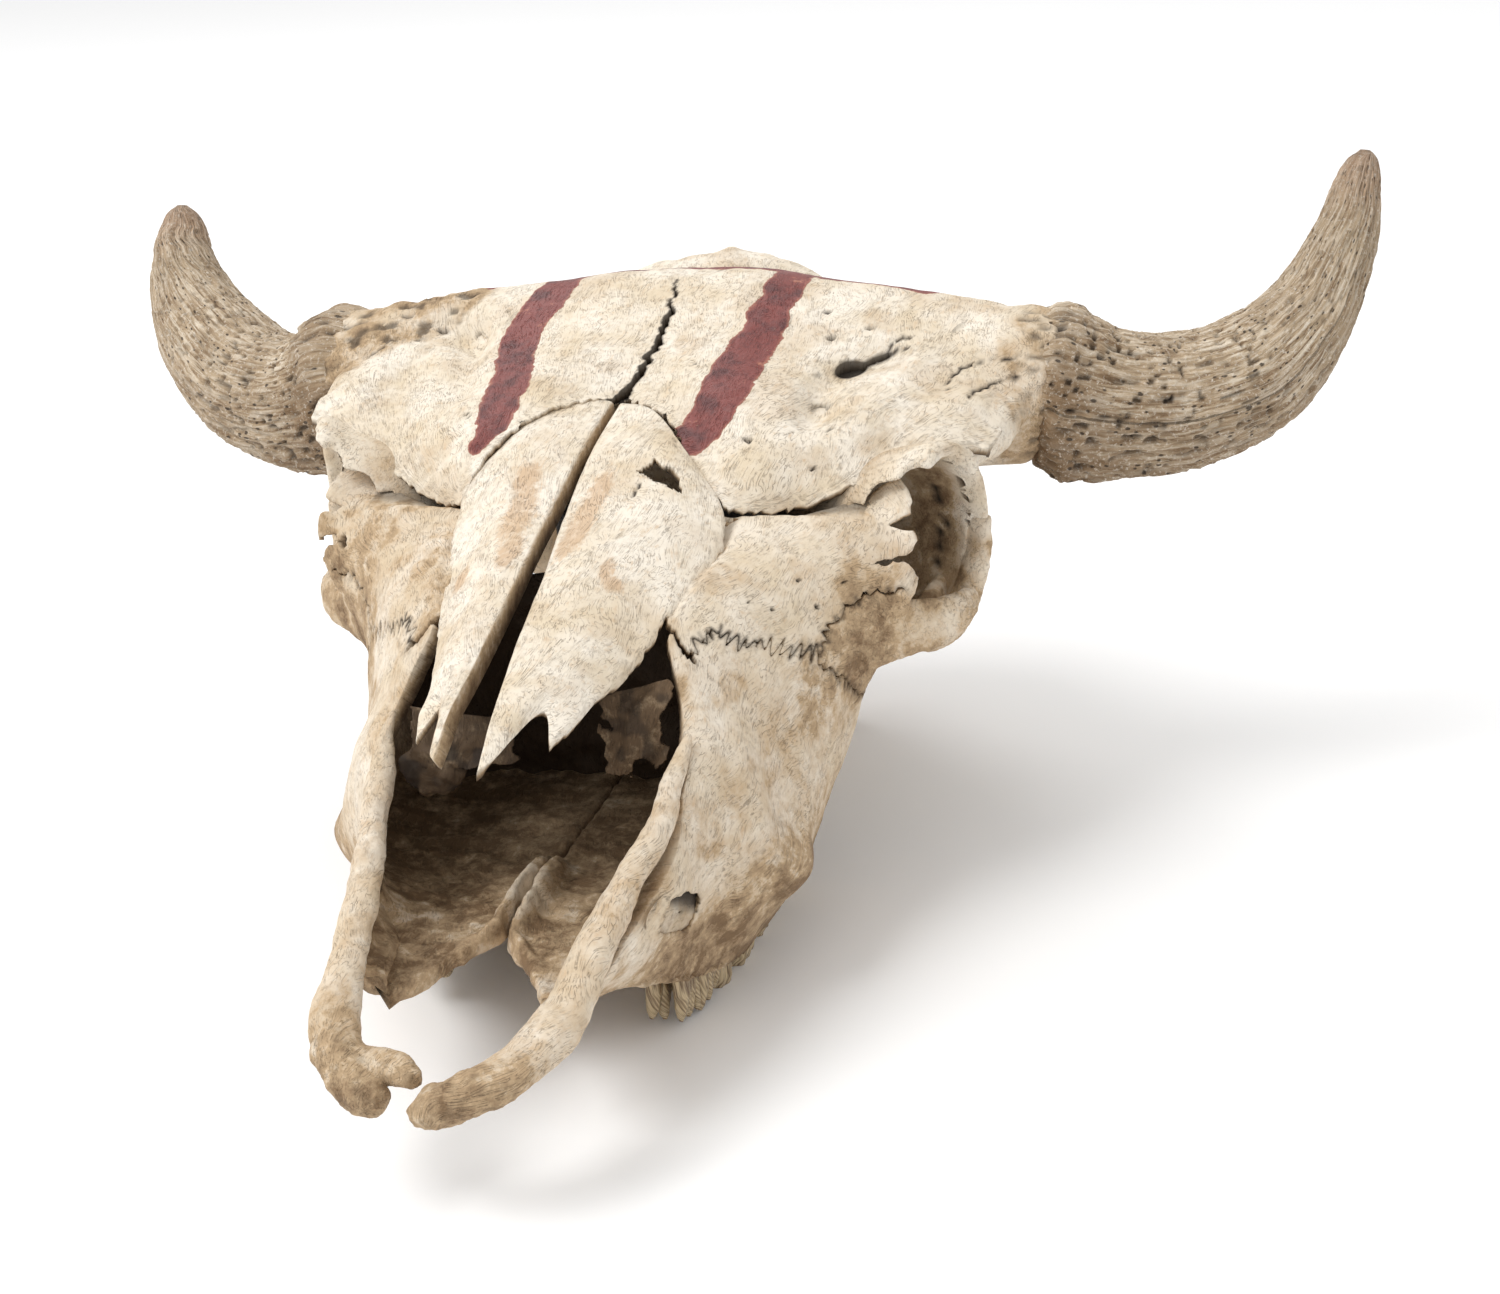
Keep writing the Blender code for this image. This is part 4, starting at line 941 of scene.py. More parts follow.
hornStations = {
    leftSide: [
        (112, 112, 178, 30, 32), (140, 116, 181, 32, 33), (155, 119, 180, 35, 36), (168, 121, 176, 33, 34),
        (184, 125, 172, 31, 31), (207, 132, 170, 30, 29.5), (227, 140, 174, 28, 27.5), (244, 150, 182, 25, 26),
        (259, 160, 197, 20, 21), (269, 168, 214, 16, 17), (276, 174, 233, 13, 14), (279.6, 178, 250, 10, 10.8),
        (282, 181, 262, 6.3, 6.8), (282.5, 182, 266.5, 2, 2),
    ],
    rightSide: [
        (-112, 112, 178, 30, 32), (-140, 116, 180, 32, 33), (-157, 118, 179, 35, 36), (-170, 120, 172, 33, 34),
        (-190, 124, 167, 31, 31), (-215, 133, 170, 30, 29.5), (-237, 145, 181, 28, 27.5),
        (-254, 156, 195, 24, 25), (-265, 166, 211, 19, 20), (-269.5, 173, 226, 14.4, 16),
        (-270.6, 178, 237, 11, 12), (-271, 180, 245, 7, 7.5), (-271, 181, 249, 2, 2),
    ],
}
hornDetail = {
    "around": 180, "steps": 216, "furrow": 1.7, "pit": 1.4, "burr": 1.8,  # heights in millimetres
    "start": 1.6,  # the station where the visible core begins
    "meanRadius": 24.0,
}


def hornShape(side):
    stations = hornStations[side]
    around, steps = ((hornDetail["around"], hornDetail["steps"]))
    rings = barRings(stations, around, steps, first=hornDetail["start"])
    centres = rings.mean(1, keepdims=True)
    spokes = rings - centres
    radius = np.linalg.norm(spokes, axis=2, keepdims=True)
    out = spokes / np.maximum(radius, 1e-6)
    along = walkedAlong(centres[:, 0])
    total = along[-1]
    angle = np.arange(around) * (2 * math.pi / around)
    mean = hornDetail["meanRadius"]
    grain = np.stack([
        np.broadcast_to(along[:, None], (steps, around)),
        np.broadcast_to(angle * mean, (steps, around)), np.zeros((steps, around))], -1)
    # noise wrapped round the core, so that it has no seam
    wrap = np.stack([
        np.broadcast_to(along[:, None] / 9, (steps, around)),
        np.broadcast_to(np.cos(angle) * mean / 2.2, (steps, around)),
        np.broadcast_to(np.sin(angle) * mean / 2.2, (steps, around))], -1)
    furrow = layeredNoise(wrap, 1.2, 3, 11 + side)
    furrow = -np.abs(furrow) ** 0.8 + 0.3
    coarse = noiseAt(wrap * [0.5, 0.35, 0.35], 1, 15 + side)
    pits = noiseAt(wrap * [3, 1.1, 1.1], 1, 17 + side)
    pits = smoothStep(pits, 0.42, 0.68)
    share = along[:, None] / total
    rough = 1.6 - 1.1 * smoothStep(share, 0.05, 0.75)
    under = 0.5 - 0.5 * out[..., 2]
    height = hornDetail["furrow"] * furrow * rough * (0.6 + 0.8 * under) + 0.8 * coarse
    height -= hornDetail["pit"] * pits * rough
    # the burr: a low ring of knobs where the core leaves the skull, with a ledge below it
    burr = bell((along[:, None] - 9) / 7)
    knobs = noiseAt(wrap * [1.6, 0.8, 0.8], 1, 19 + side)
    height += hornDetail["burr"] * burr * (0.2 + 1.2 * knobs)
    height += 3.2 * under**2 * bell((along[:, None] - 22) / 18)
    start = fallOff(along[:, None] + 2.5 * coarse, 0, 9 + 17 * under**2)
    height -= (4 + 8 * under**2) * start
    end = smoothStep(share, 0.93, 1)
    height = height * (1 - 0.6 * end)
    rings = rings + out * height[..., None]
    shape = tubeShape(rings, grain)
    pad = lambda values: np.concatenate([values.ravel(), [0, 0]])
    # painted shade in the pits and furrows
    shape["dark"] = pad(0.55 * pits * rough + 0.4 * smoothStep(-furrow, 0.3, 0.9) * rough)
    near = bell(along[:, None] / 20) * smoothStep(along[:, None] + 4 * coarse, 0, 12)
    # browner near the skull and towards the base; the underside is made browner as painted shade
    brown = 0.8 * near * under + 0.3 * near + 0.22 * (1 - share) + 0.75 * under * (1 - 0.6 * share) - 0.12
    shape["stain"] = pad(np.clip(brown + 0.3 * coarse, 0, 1) * np.ones_like(furrow))
    shape["wear"] = pad(smoothStep(share, 0.82, 1.0) * np.ones_like(furrow))
    return shape


def braincaseRings():
    stations = [
        (34, 132, 34, 40), (58, 132, 46, 52), (95, 136, 58, 66), (128, 142, 70, 76),
        (158, 140, 88, 74), (180, 136, 103, 71), (196, 131, 94, 62), (206, 124, 76, 50), (213, 113, 48, 33),
    ]
    places = curveAt(stations, np.linspace(0, len(stations) - 1, 60))
    return [ringAt((0, y, middle), wide, tall, (1, 0, 0), skyward, 96, 2.3) for y, middle, wide, tall in places]


def hiddenRoof():
    # the forehead's bulk, kept below the fine surface that covers it
    grid = wholeForehead()
    r, c = np.meshgrid(np.linspace(0.18, 4.0, 60), np.linspace(0.0, grid.shape[1] - 1.0, 180), indexing="ij")
    outer = surfaceAt(grid, r, c)
    normals = latticeNormals(outer)
    fromSide = np.minimum(c, grid.shape[1] - 1 - c)
    covered = smoothStep(fromSide, 0.55, 1.3) * fallOff(r, 3.1, 3.5)
    thick = 4 + 11 * smoothStep(r, 0, 1.2)
    lower = np.minimum(7, thick - 1.6) * covered
    outer = outer - normals * lower[..., None]
    inner = outer - normals * (thick - lower)[..., None]
    return plateShape(outer, inner, np.ones((59, 179), bool), latticeGrain(outer))


def craniumParts(side):
    pedicle = np.array(hornStations[side][:4], float)
    pedicle[2:, 3:] *= [[0.88], [0.66]]  # hidden inside the horn core
    shapes = [tubeShape(barRings(pedicle, 60, 60))]
    sidedTube = lambda rings: tubeShape(sided(rings, side))
    cup = ((6.5, 31.2, 41.5), (14, 30.5, 40), (28, 29, 38, -1), (48, 28, 33, -4), (72, 22, 24, -8))
    shapes.append(sidedTube([socketRing(*ring) for ring in cup]))
    shapes.append(sidedTube(barRings(rimStations(112, rimSettings["suture"] - 3.0, 9), 32, 60, wideAxis=socketOut)))
    for stations, hint in (
        ([(118, 40, 172, 14, 8), (136, 62, 172, 13, 9), (140, 84, 178, 14, 12), (134, 108, 180, 20, 22)],
         (0, 0, 1)),
        ([(78, 150, 92, 16, 14), (100, 142, 92, 12, 11), (115, 124, 98, 8, 8), (121, 102, 107, 5, 8),
          (122, 82, 115, 4.5, 7.5), (122, 64, 121, 4, 5)], (0, 0, 1)),
        ([(20, 205, 80, 14, 18), (30, 216, 82, 16, 22), (34, 227, 86, 13, 19), (35, 233, 89, 6, 10)], (0, 0, 1)),
        ([(58, 186, 78, 20, 14), (54, 187, 58, 15, 11), (49, 187, 36, 9, 8), (46, 185, 14, 6.5, 6.5),
          (44, 183, -2, 5, 5), (43.5, 182.5, -5, 3, 3)], (0, 1, 0)),
        ([(44, 172, 74, 12, 12), (42, 164, 62, 12, 13), (40, 158, 52, 8, 9), (39, 155, 47, 3, 4)], (0, 1, 0)),
        ([(24, 78, 84, 12, 4), (25, 62, 66, 14, 3.5), (26, 50, 52, 12, 3), (27, 44, 40, 8, 2.5)], (1, 0, 0)),
    ):
        shapes.append(sidedTube(barRings(stations, 40, 50, hint=hint)))
    return shapes


def evaluatedShape(piece):
    graph = bpy.context.evaluated_depsgraph_get()
    mesh = piece.evaluated_get(graph).to_mesh()
    count = len(mesh.vertices)
    points = np.empty(count * 3, np.float32)
    mesh.vertices.foreach_get("co", points)
    loops = np.empty(len(mesh.loops), np.int32)
    mesh.loops.foreach_get("vertex_index", loops)
    starts = np.empty(len(mesh.polygons), np.int32)
    mesh.polygons.foreach_get("loop_start", starts)
    totals = np.diff(np.append(starts, len(loops)))
    quads = loops[starts[totals == 4][:, None] + np.arange(4)]
    tris = [loops[starts[totals == 3][:, None] + np.arange(3)]]
    for size in np.unique(totals[totals > 4]):
        fan = loops[starts[totals == size][:, None] + np.arange(size)]
        for k in range(1, size - 1):
            tris.append(fan[:, [0, k, k + 1]])
    shape = shapeOf(points.reshape(-1, 3).astype(float) * 1000 - drawingToFloor, quads, np.concatenate(tris))
    piece.evaluated_get(graph).to_mesh_clear()
    return shape


def helper(name, shape):
    piece = bpy.data.objects.new(name, makeMesh(name, shape))
    bpy.context.scene.collection.objects.link(piece)
    return piece


def fused(name, shapes, voxel, softening, cutters=()):
    # melts closed shapes into one skin, then cuts hollows out of it
    piece = helper(name, joined(shapes))
    melt = piece.modifiers.new("melt", "REMESH")
    melt.mode = "VOXEL"
    melt.voxel_size = voxel * millimetre
    soften = piece.modifiers.new("soften", "SMOOTH")
    soften.factor = 0.5
    soften.iterations = softening
    tools = []
    for k, cutter in enumerate(cutters):
        tool = helper(f"{name} cutter {k}", cutter)
        step = piece.modifiers.new("hollow", "BOOLEAN")
        step.operation = "DIFFERENCE"
        step.solver = "MANIFOLD"
        step.object = tool
        tools.append(tool)
    shape = evaluatedShape(piece)
    for thing in [piece, *tools]:
        bpy.data.objects.remove(thing)
    return shape


craniumVoxel = 2.55  # millimetres


def craniumShape():
    base = barRings([(0, 214, 76, 26, 14), (0, 180, 68, 26, 13), (0, 140, 68, 20, 13), (0, 100, 74, 15, 13),
                     (0, 70, 84, 12, 14)], 48, 50)
    poll = barRings([(-56, 182, 198, 12, 10), (-36, 188, 206, 14, 11), (-8, 190, 210, 15, 12),
                     (14, 190, 210, 15, 12), (36, 188, 204, 13, 11), (54, 182, 196, 12, 10)], 40, 60)
    shapes = [hiddenRoof(), tubeShape(braincaseRings()), tubeShape(base), tubeShape(poll)]
    shapes += craniumParts(leftSide) + craniumParts(rightSide)
    cutters = []
    for side in (leftSide, rightSide):
        hollow = ((-25, 25.6, 35.6), (6, 24.9, 34.8), (16, 24.6, 33.6), (34, 23, 30, -1), (52, 17, 21, -3),
                  (62, 6, 8, -5))
        rings = curveAt([socketRing(*ring) for ring in hollow], np.linspace(0, 5, 24))
        cutters.append(tubeShape(sided(rings, side)))
        # nothing but the thin face bones closes the socket towards the nose
        gap = ((-8, 25, 33, 2), (6, 25, 33, 2), (20, 22, 29, 2), (26, 12, 16, 2))
        rings = curveAt([socketRing(*ring) - socketAlong * 9 for ring in gap], np.linspace(0, 3, 16))
        cutters.append(tubeShape(sided(rings, side)))
        cutters.append(nasalShape(side, 0.6, coarse=True))
        cutters.append(lacrimalBlock(side, 1.2))
    cutters.append(tubeShape(barRings([(0, 245, 98, 17, 15), (0, 220, 99, 16, 14), (0, 196, 102, 13, 12)], 48, 20)))
    shape = fused("cranium", shapes, craniumVoxel, 3, cutters)
    points = shape["points"]
    normals = vertexNormals(shape)
    # neck muscles left scars and a ridge on the back of the skull
    back = smoothStep(points[:, 1], 182, 200)
    scars = 2.4 * noiseAt(points, 19, 46) + 1.1 * noiseAt(points, 7, 47)
    scars = scars + 3.5 * bell(points[:, 0] / 5) * smoothStep(points[:, 2], 112, 140)
    shape["points"] = points + normals * (skullRelief(points) + back * scars)[:, None]
    mirrored = onLeft(points)
    inSocket = mirrored - socketCentre
    deep = -(inSocket @ socketOut)
    off = np.sqrt((inSocket @ socketAlong / 28) ** 2 + (inSocket[:, 2] / 38) ** 2)
    hollow = smoothStep(deep, 2, 16) * fallOff(off, 0.92, 1.12)
    nose = fallOff(points[:, 1], 40, 70) * fallOff(mirrored[:, 0], 60, 85)
    nose = nose * fallOff(points[:, 2], 140, 165)
    neck = smoothStep(points[:, 1], 195, 205) * (np.hypot(points[:, 0], points[:, 2] - 99) < 18)
    under = smoothStep(gapInside(points), -9, -4) * smoothStep(points[:, 2], 165, 180)
    under = np.maximum(under, fallOff(browHoleLevel(points), 3, 6))
    under = np.maximum(under, fallOff(np.linalg.norm(points - [25, -2, 170], axis=1), 16, 22))
    # painted shade: dark deeper in the eye socket, at the back of the nose, in the hole at the back for the spinal
    # cord, and beneath the forehead's gaps and holes and the hole in the left nasal bone
    dark = 0.1 * hollow + 0.4 * hollow * smoothStep(deep, 20, 48) + 0.8 * nose + 0.7 * neck
    shape["dark"] = np.clip(np.maximum(dark, 0.95 * under), 0, 1)
    shape["stain"] = np.clip(stainAt(points) + hollow * (0.42 + 0.4 * noiseAt(points, 11.0, 45)), 0, 1)
    shape["stripe"] = np.where(points[:, 2] > 200.0, stripeDistance(points), noStripe)
    cutHornRootCracks(shape, normals)
    for k, line in enumerate(socketCracks):
        jagged = zigzag(line, 4, 0.8, 30 + k, frontView)
        cutCrack(shape, normals, jagged, 1.2, 1.2, 30 + k, across=frontView, behind=50)
    addHornSkin(shape, normals)
    return shape


# Nasal bones

nasalSettings = {
    "grid": {
        leftSide: [
            [(5, -168, 120), (9, -161, 122), (18, -136, 129), (25, -149, 122)],
            [(2.5, -146, 131), (10, -142, 132), (19, -129, 133), (29, -136, 125)],
            [(-0.5, -122, 138), (11, -120, 139), (23, -118, 136), (32, -122, 127)],
            [(-2.5, -98, 146), (13, -96, 147), (28, -92, 143), (39, -98, 131)],
            [(-4, -68, 156), (14, -64, 158), (31, -60, 155), (46, -72, 142)],
            [(-7, -35, 167), (13, -30, 170), (34, -28, 168), (54, -40, 152)],
            [(-7.5, -2, 180), (11, -2, 182), (31, -8, 178), (55, -24, 160)],
            [(-4.5, 35, 192), (12, 28, 191), (31, 7, 180), (50, -13, 165)],
        ],
        rightSide: [
            [(13, -164, 121), (16, -158, 123), (20, -136, 129), (26, -149, 122)],
            [(13, -146, 131), (17, -142, 132), (23, -129, 133), (30, -136, 125)],
            [(13, -122, 138), (19, -120, 139), (26, -118, 136), (32, -122, 127)],
            [(13, -98, 146), (21, -96, 147), (30, -92, 143), (39, -98, 131)],
            [(13, -68, 156), (23, -64, 158), (34, -60, 155), (46, -72, 142)],
            [(13, -35, 167), (25, -30, 170), (38, -28, 168), (54, -40, 152)],
            [(11, -2, 180), (26, 0, 182), (42, -2, 179), (58, -14, 164)],
            [(8, 38, 190), (22, 38, 190.5), (39, 26, 185.5), (57, 4, 170)],
        ],
    },
    "wall": 5.0, "cell": 1.1, "perRow": 29.5, "perColumn": 18.0,  # millimetres from row to row, column to column
    "hole": [(5.72, 1.2), (5.9, 1.48), (6.08, 1.55), (5.97, 1.75), (6.02, 1.95), (5.93, 2.17), (5.56, 2.17),
             (5.48, 1.94), (5.54, 1.66), (5.62, 1.4)],
}


def nasalShape(side, grow=0, coarse=False):
    grid = nasalSettings["grid"][side]
    cell = 8.0 if coarse else nasalSettings["cell"]
    border = 0.05 * grow
    rows = np.linspace(-border, 7 + border, int(215 / cell))
    columns = np.linspace(-border, 3 + border, int(56 / cell) + 2)
    r, c = np.meshgrid(rows, columns, indexing="ij")
    outer = surfaceAt(grid, r, c)
    keep = np.ones((len(rows) - 1, len(columns) - 1), bool)
    toHole = np.full(r.shape, 99.0)
    if not coarse:
        # ragged outer and front edges
        edgeNoise = noiseAt(outer, 11, 50 + side) + 0.8 * noiseAt(outer, 3.6, 51 + side)
        inset = np.clip(1.3 * edgeNoise, -0.8, 2.6)
        c = c - inset / 17 * smoothStep(c, 2.6, 3)
        r = r + np.clip(inset, -0.4, 1.5) / 28 * fallOff(r, 0, 0.25)
        outer = surfaceAt(grid, r, c)
        if side == leftSide:
            perRow, perColumn = nasalSettings["perRow"], nasalSettings["perColumn"]
            middles = [(r[:-1, :-1] + r[1:, 1:]) / 2 * perRow, (c[:-1, :-1] + c[1:, 1:]) / 2 * perColumn]
            spots = np.stack(middles, -1)
            outline = np.array(nasalSettings["hole"]) * [perRow, perColumn]
            ragged = 1.1 * noiseAt(outer, 3.2, 57)
            keep &= insideDistance(outline, spots.reshape(-1, 2)).reshape(keep.shape) + ragged[:-1, :-1] < 0.3
            corners = np.stack([r * perRow, c * perColumn], -1).reshape(-1, 2)
            toHole = -insideDistance(outline, corners).reshape(r.shape)
    if side == rightSide:
        outer[..., 0] *= -1
        outer, r, c, keep, toHole = outer[:, ::-1], r[:, ::-1], c[:, ::-1], keep[:, ::-1], toHole[:, ::-1]
    wall = nasalSettings["wall"] + 5.0 * smoothStep(1.0 - c / 3.0, 0.6, 1.0)
    wall = wall * (0.55 + 0.45 * smoothStep(r, 0, 2))
    wall = np.minimum(wall, 1.6 + 0.6 * np.maximum(toHole, 0))
    normals = evened(latticeNormals(outer), 1 if coarse else 3)
    if coarse:
        lift = grow
    else:
        lift = 0.5 * noiseAt(outer, 18, 55) + 0.2 * noiseAt(outer, 5, 56)
        lift = lift + (1.9 if side == leftSide else 3.5) * smoothStep(r, 5.6, 6.7)
        edge = np.minimum(c, 3 - c) * 17
        lift = lift - 1.2 * fallOff(edge, 0, 2) ** 2
    inner = outer - normals * (wall + grow)[..., None]
    outer = outer + normals * (lift * np.ones_like(c))[..., None]
    shape = plateShape(outer, inner, keep, latticeGrain(outer))
    if coarse:
        return shape
    bend = vertexNormals(shape)
    front = (1.0 - shape["inside"])[:, None]
    if side == leftSide:
        lines = [
            [(23, -2, 181), (21, 6, 184), (18, 19, 187), (14, 26, 190)],
            [(31, -7, 178), (28, 5, 182), (25, 13, 184), (18, 20, 187)],
            [(20, -14, 177), (19, -19, 175), (18, -25, 172)], [(32, -16, 174), (30, -21, 172)],
            [(4, -15, 175), (5, -5, 178), (8, 6, 182)], [(24, -50, 165), (23, -58, 162)],
            [(26, -4, 180), (27, 8, 184), (24, 18, 187)],
        ]
        worn = [((2, -38, 168), 20, 6), ((4, -22, 174), 14, 5), ((0, -52, 162), 9, 4), ((20, -64, 160), 7, 3),
                ((24, -70, 158), 4, 5)]
    else:
        lines = [[(-4, 20, 186), (-7, 0, 180), (-10, -20, 172)], [(-30, -50, 163), (-31, -62, 160)]]
        worn = [((-25, -34, 169), 20, 7), ((-28, -14, 176), 10, 6), ((-21, -56, 161), 12, 5),
                ((-40, -62, 155), 7, 3)]
    for k, line in enumerate(lines):
        cutCrack(shape, bend * front, line, 0.9, 1.2, 60 + k)
    for centre, long, wide in worn:
        offset = shape["points"] - centre
        away = np.where(np.abs(offset[:, 2]) < 15, np.hypot(offset[:, 1] / long, offset[:, 0] / wide), 9)
        shape["wear"] = np.maximum(shape["wear"], fallOff(away, 0.5, 1.3))
    shape["stain"] = np.clip(0.8 * shape["inside"] + 0.5 * stainAt(shape["points"]), 0, 1)
    # painted shade on the bone's inner face
    darken(shape, 0.5 * shape["inside"])
    if side == rightSide:
        wallSide = smoothStep(np.abs(bend[:, 0]), 0.6, 0.9) * (shape["points"][:, 0] > -20)
        shape["stain"] = np.maximum(shape["stain"], 0.45 * wallSide)
        shape["dark"] = shape["dark"] * (1.0 - 0.5 * wallSide)
    return shape


# Face: one surface, shared out between the maxilla, the lacrimal and the cheekbone

faceSettings = {
    "grid": [
        [(52, -192, 57), (52, -193, 54), (50, -194, 51), (46, -194, 48), (42, -194, 46), (38, -195, 44),
         (34, -195, 42)],
        [(62, -163, 72), (63, -164, 68), (62, -165, 62), (60, -165, 55), (57, -165, 49), (52, -165, 43),
         (46, -165, 37)],
        [(65, -136, 84), (67, -135, 79), (68, -135, 73), (67, -135, 64), (64, -135, 53), (60, -135, 40),
         (56, -135, 25)],
        [(61, -115, 101), (67, -114, 96), (71, -114, 88), (73, -114, 74), (72, -114, 57), (67, -115, 36),
         (61, -115, 15)],
        [(56, -95, 114), (64, -95, 109), (73, -94, 98), (81, -94, 82), (86, -94, 58), (80, -94, 34), (68, -94, 11)],
        [(46, -76, 138), (58, -76, 131), (70, -76, 116), (80, -76, 94), (92, -77, 50), (84, -76, 30),
         (70, -76, 10)],
        [(51, -58, 149), (66, -54, 142), (80, -50, 128), (90, -46, 108), (94, -46, 66), (88, -48, 38),
         (72, -48, 10)],
        [(56, -32, 155), (76, -28, 151), (94, -24, 142), (104, -20, 120), (98, -20, 78), (90, -22, 47),
         (74, -22, 14)],
        [(55, -12, 162), (86, -8, 160), (110, -7, 152), (124, -6, 133), (104, -4, 92), (92, -2, 60), (76, 2, 20)],
        [(55, -9, 161), (83, -2, 159), (108, 1, 160), (126, -1, 152), (94, 16, 84), (84, 18, 54), (74, 20, 22)],
        [(55, -7, 161), (79, 4, 158), (100, 14, 163), (118, 19, 169), (92, 30, 84), (82, 32, 54), (72, 34, 22)],
    ],
    "perRow": 24.0, "perColumn": 20.0, "wall": 5.0, "cell": 1.5, "fineCell": 0.7,
    "fineRows": (4.65, 6.75), "fineColumns": (0.0, 3.15),
    # joint lines as rows and columns of the grid: an open crack, then the interlocking edges
    "crack": [(5.12, -0.1), (5.02, 0.24), (4.86, 0.52), (4.8, 0.8)],
    "top": [(4.8, 0.8), (5.2, 0.96), (5.5, 1.1), (5.54, 1.5), (5.7, 1.82), (5.9, 2.0), (5.96, 2.32),
            (6.08, 2.6), (6.3, 2.9)],
    "side": [(6.3, 2.9), (6.4, 2.8), (6.64, 2.68), (6.88, 2.64), (7.1, 2.6), (7.28, 2.64), (7.44, 2.72),
             (7.82, 2.92)],
    "low": [(6.3, 2.9), (6.36, 3.12), (6.68, 3.34), (6.88, 3.52), (7.3, 3.8), (8.0, 4.2), (8.7, 4.5)],
    "crackHalf": 0.8,
}


def jointLine(line, pitch, throw, seed, rounded):
    # a joint's teeth: uneven steps thrown from side to side, sharp or rounded off into loops
    line = np.asarray(line, float)
    lengths = walkedAlong(line)
    random = np.random.default_rng(seed)
    places = np.cumsum(pitch * random.uniform(0.3, 0.75, int(3 * lengths[-1] / pitch)))
    places = places[places < lengths[-1] - 0.4 * pitch]
    flat = np.stack([np.interp(places, lengths, line[:, k]) for k in (0, 1)], -1)
    heading = np.gradient(flat, axis=0)
    heading /= np.linalg.norm(heading, axis=1, keepdims=True)
    across = np.stack([-heading[:, 1], heading[:, 0]], -1)
    swing = np.where(np.arange(len(flat)) % 2 == 0, 1.0, -1.0) * throw * random.uniform(0.35, 1.1, len(flat))
    slide = heading * random.uniform(-0.3, 0.3, (len(flat), 1)) * pitch
    flat = np.concatenate([line[:1], flat + across * swing[:, None] + slide, line[-1:]])
    return curveAt(flat, np.linspace(0, len(flat) - 1, 5 * len(flat))) if rounded else flat


def insideDistance(polygon, spots):
    # signed distance to a closed outline in the flat map of the face: positive inside
    polygon = np.asarray(polygon, float)
    after = np.roll(polygon, -1, axis=0)
    inside = np.zeros(len(spots), bool)
    best = np.full(len(spots), 1e9)
    for a, b in zip(polygon, after):
        step = b - a
        t = np.clip((spots - a) @ step / max(step @ step, 1e-12), 0, 1)
        best = np.minimum(best, np.linalg.norm(spots - a - t[:, None] * step, axis=1))
        crosses = (a[1] > spots[:, 1]) != (b[1] > spots[:, 1])
        with np.errstate(divide="ignore", invalid="ignore"):
            at = (b[0] - a[0]) * (spots[:, 1] - a[1]) / (b[1] - a[1]) + a[0]
        inside ^= crosses & (spots[:, 0] < at)
    return np.where(inside, best, -best)


def flatMap(line):
    return np.asarray(line, float) * [faceSettings["perRow"], faceSettings["perColumn"]]


def sutures():
    # the joint lines in the flat map: maxilla to lacrimal, lacrimal to cheekbone, cheekbone to maxilla
    crack = jointLine(flatMap(faceSettings["crack"]), 3.0, 0.9, 70, False)
    upper = jointLine(flatMap(faceSettings["top"]), 3.3, 3.6, 71, True)
    side = jointLine(flatMap(faceSettings["side"]), 3.4, 2.4, 72, False)
    lower = jointLine(flatMap(faceSettings["low"]), 2.6, 1.3, 73, False)
    return np.concatenate([crack[:-1], upper]), side, lower


def unevenPlaces(start, end, coarse, fine, span):
    # places from start to end, set closer together within the span
    parts = []
    for a, b, step in ((start, span[0], coarse), (*span, fine), (span[1], end, coarse)):
        a, b = max(a, start), min(b, end)
        if b - a > 1e-6:
            parts.append(np.linspace(a, b, max(2, int(math.ceil((b - a) / step)) + 1))[:-1])
    return np.concatenate([*parts, [end]])


upperSuture, sideSuture, lowerSuture = sutures()


